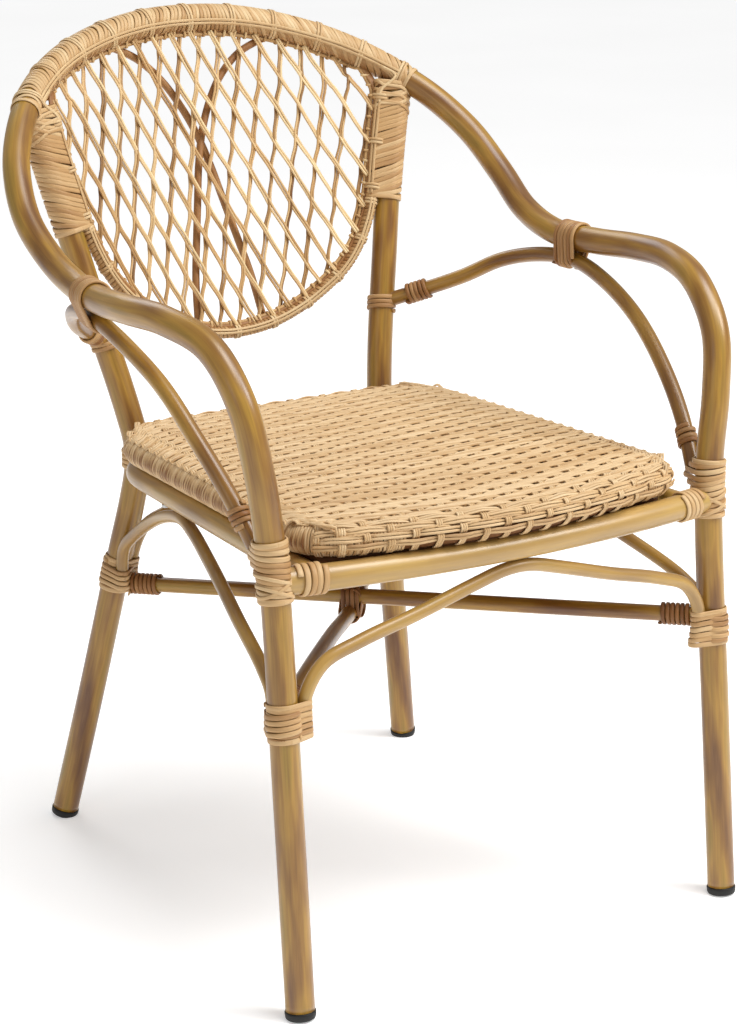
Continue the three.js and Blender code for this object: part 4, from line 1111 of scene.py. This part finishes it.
def seat_plan(u, v):
    """A point of the seat seen from above: u from right (-1) to left (1), v from front (0) to rear (1)."""
    across = (u + 1) / 2
    f, r, left = seat_front.end(across)[0], seat_rear.end(1 - across)[0], seat_side.end(v)[0]
    v, across = v[..., None], across[..., None]
    corners = ((1 - v) * ((1 - across) * seat_front.p[0] + across * seat_front.p[-1])
               + v * ((1 - across) * seat_rear.p[-1] + across * seat_rear.p[0]))
    return (1 - v) * f + v * r + (1 - across) * (left * FLIP) + across * left - corners


# The seat's surface

# Inset from the outline and height above the seat's bottom, from the top over the side and under
SEAT_SIDE = smooth_curve([vec(i, h) for i, h in (
    (44.0, 29.0), (24.0, 28.9), (10.8, 27.8), (5.6, 25.4), (2.4, 21.7), (0.5, 17.0), (0.0, 13.0),
    (1.3, 8.6), (4.2, 4.6), (8.0, 1.6), (12.0, 0.2))], 10)
SIDE_LENGTH = lengths(SEAT_SIDE)
SIDE_TURN = heading(SEAT_SIDE)
# The same up to the outline, from there inwards
TOP_INSET, TOP_HEIGHT, TOP_LENGTH = SEAT_SIDE[60::-1, 0], SEAT_SIDE[60::-1, 1], SIDE_LENGTH[60::-1]
# How far in a strand's path leaves the edge's own section for the top
BLEND_INSET = 30.0
PATH_STEP = 2.4
EDGE_ROWS = [SIDE_LENGTH[22] + 6.6 * k for k in range(4)]


def crown(plan):
    d = plan - SEAT_CENTRE
    angle = np.arctan2(d[..., 1], d[..., 0])
    size = np.interp(angle, reach_angle, reach_size, period=2 * math.pi)
    return SEAT_CROWN * np.clip(1 - (np.linalg.norm(d, axis=-1) / size) ** 2, 0, 1)


def seat_side_point(edge_point, outward, length):
    """A point and its outward direction on the seat's side, by length along the side's section."""
    inset, height = read_off(length, SIDE_LENGTH, SEAT_SIDE).T
    turn_in, turn_up = read_off(length, SIDE_LENGTH, SIDE_TURN).T
    plan = edge_point - outward * inset[:, None]
    normal = np.column_stack([outward * -turn_up[:, None], -turn_in])
    return np.column_stack([plan, SEAT_BOTTOM + height + crown(plan)]), unit(normal)


def seat_top_point(plan):
    from_edge = np.min(np.linalg.norm(plan[:, None] - seat_loop[None], axis=2), axis=1)
    z = SEAT_BOTTOM + np.interp(from_edge, TOP_INSET, TOP_HEIGHT) + crown(plan)
    step = 2.0
    slopes = [(crown(plan + shift) - crown(plan - shift)) / (2 * step)
              for shift in (vec(step, 0.0), vec(0.0, step))]
    normal = np.column_stack([-slopes[0], -slopes[1], np.ones(len(plan))])
    return np.column_stack([plan, z]), unit(normal)


def over_edges(plan, near, far):
    """A path over the seat, up from one edge, across the top and down the other edge.

    plan is the line seen from above; near and far are (edge point, outward direction).
    """
    run = lengths(plan)
    length = np.arange(np.interp(BLEND_INSET, TOP_INSET, TOP_LENGTH), SIDE_LENGTH[-1], PATH_STEP)
    inset = np.interp(length, SIDE_LENGTH, SEAT_SIDE[:, 0])
    w = np.clip(1 - (inset - 6.0) / 24.0, 0, 1)
    w = np.where(length > SIDE_LENGTH[30], 1.0, eased(w))[:, None]
    ends = []
    for (edge_point, outward), at in ((near, inset), (far, run[-1] - inset)):
        points, normal = seat_side_point(edge_point, outward, length)
        points[:, :2] = points[:, :2] * w + read_off(at, run, plan) * (1 - w)
        ends.append((points, normal))
    middle = np.arange(BLEND_INSET + PATH_STEP, run[-1] - BLEND_INSET, PATH_STEP)
    points, normal = seat_top_point(read_off(middle, run, plan))
    return (np.concatenate([ends[0][0][::-1], points, ends[1][0]]),
            np.concatenate([ends[0][1][::-1], normal, ends[1][1]]))


# The seat's weave

SHARES = np.linspace(0, 1, 400)


def crossings(place, count, reach, sharpness):
    """The nearest of the strands that cross, and how near it is, from 0 to 1."""
    index = np.clip(np.round(place), 0, count - 1)
    return index, np.clip(reach - np.abs(place - index) * sharpness, 0, 1)


def seat_wefts(band, rows):
    """Pairs of strands across the seat, down both sides, dipping where a warp passes over."""
    make = Builder()
    rng = default_rng(7 + rows[0])
    for j in rows:
        v = (j + 0.5) / WEFTS
        edge_point, outward = seat_side.end(v)
        path, normal = over_edges(seat_plan(1 - 2 * SHARES, np.full(len(SHARES), v)),
                                  (edge_point, outward), (edge_point * FLIP, outward * FLIP))
        run = lengths(path)
        u = np.interp(run, [BLEND_INSET, run[-1] - BLEND_INSET], [1.0, -1.0])
        index, near = crossings((u + 1) / 2 * WARPS - 0.5, WARPS, 1.5, 2.9)
        under = ((j - index) % 3 == 0) & (np.abs(u) < 1.0)
        rise = np.where(under, -2.1 * eased(near), 0.35 * eased(near))
        rise = rise + 0.12 * np.sin(run * 0.11 + rng.uniform(0, 6.28))
        base = path + normal * rise[:, None]
        beside = np.cross(normal, heading(base))
        down_side = np.clip(1.3 - np.abs(normal[:, 2]) * 2.0, 0, 1)
        for sign in (-1.0, 1.0):
            wander = 0.18 * np.sin(run * 0.05 + rng.uniform(0, 6.28))
            line = base + beside * (sign * (1.38 - 0.2 * down_side) + wander)[:, None]
            shade = rng.uniform(0.25, 1.0) + gentle(rng, np.linspace(0, 8, len(line)), 0.15)
            # Painted shade: strands that run down the sides are darker, and one of each pair darker than
            # the other, as painted shade in the gaps between them
            shade = shade + (0.3 * sign - 0.8) * down_side
            line = line - normal * (1.1 - 0.6 * down_side)[:, None]
            lay(make, line, normal, oval(2.6, 2.2), shade)
    make.piece("seat_wefts_" + band, surface="seat_weave")


def seat_warps(band, columns):
    """Groups of three strands from front to rear, over one weft in three, and down both ends."""
    make = Builder()
    rng = default_rng(8 + columns[0])
    for i in columns:
        u = (i + 0.5) / WARPS * 2 - 1
        share = (u + 1) / 2
        path, normal = over_edges(seat_plan(np.full(len(SHARES), u), SHARES),
                                  seat_front.end(share), seat_rear.end(1 - share))
        coarse, fine = np.linspace(0, 1, len(path)), np.linspace(0, 1, len(path) * 2)
        path, normal = read_off(fine, coarse, path), unit(read_off(fine, coarse, normal))
        run = lengths(path)
        v = np.interp(run, [26.0, run[-1] - 26.0], [0.0, 1.0])
        index, near = crossings(v * WEFTS - 0.5, WEFTS, 1.5, 2.2)
        top = np.where((index - i) % 3 == 0, -1.3 + 2.6 * near, -1.3)
        wall = np.full(len(run), 0.9)
        from_end = np.minimum(run, run[-1] - run)
        for r, at in enumerate(EDGE_ROWS):
            close = np.clip(1.4 - np.abs(from_end - (SIDE_LENGTH[-1] - at)) / 3.0, 0, 1)
            wall = wall + close * (1.5 if (i + r) % 2 == 0 else -2.6)
        on_wall = np.clip((SIDE_LENGTH[-1] - SIDE_LENGTH[18] - from_end) / 3.0, 0, 1)
        rise = top * (1 - on_wall) + wall * on_wall
        base = path + normal * rise[:, None]
        beside = np.cross(normal, heading(path))
        for offset in (-2.5, 0.0, 2.5):
            squeeze = 1.0 - 0.12 * np.clip(rise, 0, 1)
            line = base + beside * (offset * squeeze)[:, None]
            # Painted shade: strands are darker where they turn down the seat's walls
            shade = rng.uniform(0.3, 1.0) - 0.25 * np.clip(1.2 - np.abs(normal[:, 2]) * 2.0, 0, 1)
            lay(make, line - normal * 0.8, normal, oval(2.3, 1.6, 6), shade)
    make.piece("seat_warps_" + band, surface="seat_weave")


def seat_edge_rows():
    """Pairs of strands along the front and the rear edge, over and under the warps by turns."""
    make = Builder()
    rng = default_rng(9)
    share = np.linspace(0.02, 0.98, 190)
    corner = np.clip((np.abs(share - 0.5) - 0.44) / 0.06, 0, 1)
    for edge in (seat_front, seat_rear):
        for r, at in enumerate(EDGE_ROWS):
            length = np.clip(at + (10.0 - 3.0 * r) * corner ** 1.5, 0, SIDE_LENGTH[-1] - 1)
            p, n = seat_side_point(*edge.end(share), length)
            index, near = crossings(share * WARPS - 0.5, WARPS, 1.4, 3.0)
            number = index if edge is seat_front else WARPS - 1 - index
            rise = 1.1 + np.where((number + r) % 2 == 0, -1.7 * near, 1.2 * near)
            down = np.cross(n, heading(p))
            for sign in (-1.0, 1.0):
                line = p + n * rise[:, None] + down * (sign * 1.55)
                shade = rng.uniform(0.1, 0.8) + gentle(rng, np.linspace(0, 10, len(line)), 0.2)
                lay(make, line - n * 0.9, n, oval(2.8, 1.9, 6), shade)
    make.piece("seat_edge_rows", surface="seat_weave")


def seat_corners():
    """Strands that fan from the top down over the rounded corners, between the wefts and the warps."""
    make = Builder()
    rng = default_rng(11)
    down = np.arange(SIDE_LENGTH[16], SIDE_LENGTH[-1] - 0.5, 2.0)
    # Each corner's arc, with a short length of the edges that meet there, and which way is out
    for outside, parts in ((1.0, (front_part[-8:], front_corner, side_part[:7])),
                           (-1.0, (rear_part[:8][::-1], rear_corner[::-1], side_part[::-1][:7]))):
        edge = Edge(np.concatenate(parts))
        for share in np.arange(0.0, 1.0001, 3.1 / edge.length):
            point, out = edge.end(share)
            lean = rng.uniform(-1.0, 1.0)
            for hand in (vec(1.0, 1.0), FLIP):
                path, normal = seat_side_point(point * hand, out * outside * hand, down)
                beside = np.cross(normal, heading(path))
                sway = lean * np.linspace(0, 1, len(down)) + 0.3 * np.sin(down * 0.3 + share * 9)
                line = path - normal * 0.9 + beside * sway[:, None]
                lay(make, line, normal, oval(2.9, 1.5, 6), rng.uniform(0.1, 0.85))
    make.piece("seat_corners", surface="seat_weave")


# The seat's body

def seat_pad():
    """The stiff, lightly filled body that the strands are woven over."""
    make = Builder()
    loop = resampled(seat_loop, 8.0)
    out = outward_of(loop, closed=True)
    rings = []
    for length in SIDE_LENGTH[::6][::-1]:
        p, n = seat_side_point(loop, out, np.full(len(loop), length))
        height = np.interp(length, SIDE_LENGTH, SEAT_SIDE[:, 1])
        rings.append(p - n * np.interp(height, [0.0, 5.0, 10.0], [0.1, 0.9, 1.9]))
    last = rings[-1]
    for shrink in (0.8, 0.62, 0.44, 0.26, 0.1):
        plan = SEAT_CENTRE + (last[:, :2] - SEAT_CENTRE) * shrink
        rings.append(np.column_stack([plan, SEAT_BOTTOM + SEAT_THICKNESS + crown(plan) - 1.9]))
    rings = np.array(rings)
    rings[..., 2] = np.maximum(rings[..., 2], SEAT_BOTTOM + 0.05)
    make.sweep(rings, np.zeros(len(rings)), rings[..., :2], 0.1)
    pad = make.piece("seat_pad", "seat_panel", surface="seat_pad")


def seat_shadow_lip():
    """The panel's turned-under edge, which drops beside the rails as far as they leave room; its dark
    colour is painted shadow under the seat's edge.
    """
    make = Builder()
    loop = resampled(seat_loop, 4.0)
    out = outward_of(loop, closed=True)
    plan = loop - out * (SEAT_SIDE[-1, 0] + 1.0)
    rails = np.concatenate([front_rail.p, side_rail.p])[:, :2]
    beside = np.min(np.linalg.norm(plan[:, None] - rails[None], axis=2), axis=1)
    rail_top = SEAT_RAIL_HEIGHT + np.sqrt(RAIL_RADIUS ** 2 - np.clip(beside - 1.5, 0, RAIL_RADIUS) ** 2)
    low = smoothed(np.clip(rail_top - 0.6, SEAT_BOTTOM - 9.0, SEAT_BOTTOM - 0.1), 2)
    high = np.full(len(loop), SEAT_BOTTOM + 0.8)
    rings = np.stack([np.column_stack([plan + out * way, z]) for way, z in (
        (0.7, low), (0.7, high), (-0.7, high), (-0.7, low))], axis=1)
    make.sweep(rings, np.arange(len(loop)) * 4.0, np.zeros((4, 2)), closed=True)
    make.piece("seat_shadow_lip", surface="seat_pad")


# The large weaves are made as bands, so that each piece is exported whole

seat_pad()
seat_shadow_lip()
for band, rows in zip(("front", "middle", "rear"), np.array_split(np.arange(WEFTS), 3)):
    seat_wefts(band, rows)
for band, columns in zip(("right", "left"), np.array_split(np.arange(WARPS), 2)):
    seat_warps(band, columns)
seat_edge_rows()
seat_corners()


# Foot caps

CAP_PROFILE = [(0.4, -8.3), (9.0, -8.3), (12.4, -8.2), (13.6, -7.4), (14.2, -6.0), (14.5, -3.0),
               (14.5, -1.2), (14.1, -0.5), (13.2, -0.3), (0.4, -0.3)]
CAP_SIDES = 40


def foot_cap(end, side, route):
    """A cap turned from pairs of radius and height along the leg, cut level at the floor."""
    make = Builder()
    c, t, n, b = route.frame(0.0)
    a = circle(CAP_SIDES)
    rings = np.array([c + t * h + r * (np.cos(a)[:, None] * n + np.sin(a)[:, None] * b)
                      for r, h in CAP_PROFILE])
    rings[..., 2] = np.maximum(rings[..., 2], 0.0)
    make.sweep(rings, [h for _, h in CAP_PROFILE], np.zeros((CAP_SIDES, 2)))
    make.piece(end + "_cap_" + side, end + "_foot_cap_" + side, surface="rubber")


for side, right in HANDS:
    foot_cap("front", side, main_line.handed(right))
    foot_cap("rear", side, rear_leg.handed(right))


# What shows of the solids themselves

for name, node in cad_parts.items():
    surface = ("rubber" if "cap" in name else "steel" if "screw" in name else
               "seat_weave" if "seat_panel" in name else "strand_light")
    node.data.materials.clear()
    node.data.materials.append(SURFACES[surface])


# Floor, light and camera

WHITE = (1.0, 1.0, 1.0)


def aim(made, x, y, z):
    """Turns an object so that its own axes lie along these directions."""
    made.rotation_euler = Matrix(np.stack([x, y, z], axis=1).tolist()).to_euler()


def lamp(name, kind, place, target, power, **settings):
    light = bpy.data.lights.new(name, kind)
    light.energy = power
    for key, value in settings.items():
        setattr(light, key, value)
    made = add_object(name, light)
    made.location = place
    look = vec(*target) - vec(*place)
    z = -look / np.linalg.norm(look)
    x = np.cross(UP, z)
    x /= np.linalg.norm(x)
    aim(made, x, np.cross(z, x), z)


def studio():
    mesh = bpy.data.meshes.new("floor")
    size = 12.0
    mesh.from_pydata([(-size, -size, 0.0), (size, -size, 0.0), (size, size, 0.0),
                      (-size, size, 0.0)], [], [(0, 1, 2, 3)])
    m = Nodes("floor")
    soft = m.ramp(m.noise(m.place(), 1.4), (0.3, grey(0.93)), (0.7, grey(0.96)))
    mesh.materials.append(m.shade(color=soft, roughness=0.9, specular=0.1, glow=grey(1.0),
                                  glow_strength=0.36))
    floor = add_object("floor", mesh)

    world = bpy.data.worlds.new("studio")
    world.use_nodes = True
    background = world.node_tree.nodes["Background"]
    background.inputs["Color"].default_value = grey(1.0)
    background.inputs["Strength"].default_value = 0.35
    bpy.context.scene.world = world
    bpy.context.scene.view_settings.view_transform = "Standard"

    seat = (0.0, 0.0, 0.45)
    lamp("ceiling", "SUN", (0.6, -0.6, 2.2), (0.0, 0.0, 0.0), 0.9, angle=0.5)
    for name, place, target, size, power, colour in (
            ("overhead", (0.5, -1.0, 2.7), seat, 1.5, 26.0, WHITE),
            ("key", (1.65, -1.75, 2.4), seat, 1.1, 42.0, (1.0, 0.985, 0.96)),
            ("fill", (-2.6, -1.2, 1.5), seat, 1.0, 4.0, (1.0, 0.99, 0.98)),
            ("rim", (0.4, 2.6, 2.4), (0.0, 0.0, 0.5), 1.6, 18.0, WHITE)):
        lamp(name, "AREA", place, target, power, shape="DISK", size=size, color=colour)


# The photo's camera, as solved: its picture is 737 by 1024 pixels

PICTURE_HEIGHT = 1024.0
FOCAL_PIXELS = 2561.3
SENSOR_HEIGHT = 24.0


def camera():
    data = bpy.data.cameras.new("camera")
    data.sensor_fit = "VERTICAL"
    data.sensor_height = SENSOR_HEIGHT
    data.lens = SENSOR_HEIGHT * FOCAL_PIXELS / PICTURE_HEIGHT
    data.shift_y = (516.3 - 512.0) / PICTURE_HEIGHT
    data.shift_x = (368.5 - 367.1) / PICTURE_HEIGHT
    made = add_object("camera", data)
    yaw, pitch = math.radians(32.715), math.radians(16.552)
    forward = vec(math.sin(yaw) * math.cos(pitch), math.cos(yaw) * math.cos(pitch), -math.sin(pitch))
    right = vec(math.cos(yaw), -math.sin(yaw), 0.0)
    aim(made, right, np.cross(right, forward), -forward)
    made.location = (-1.332, -2.1176, 1.099)
    bpy.context.scene.camera = made


studio()
camera()


# Size of what is seen

def corners(box):
    return [[float(v) for v in corner] for corner in box]
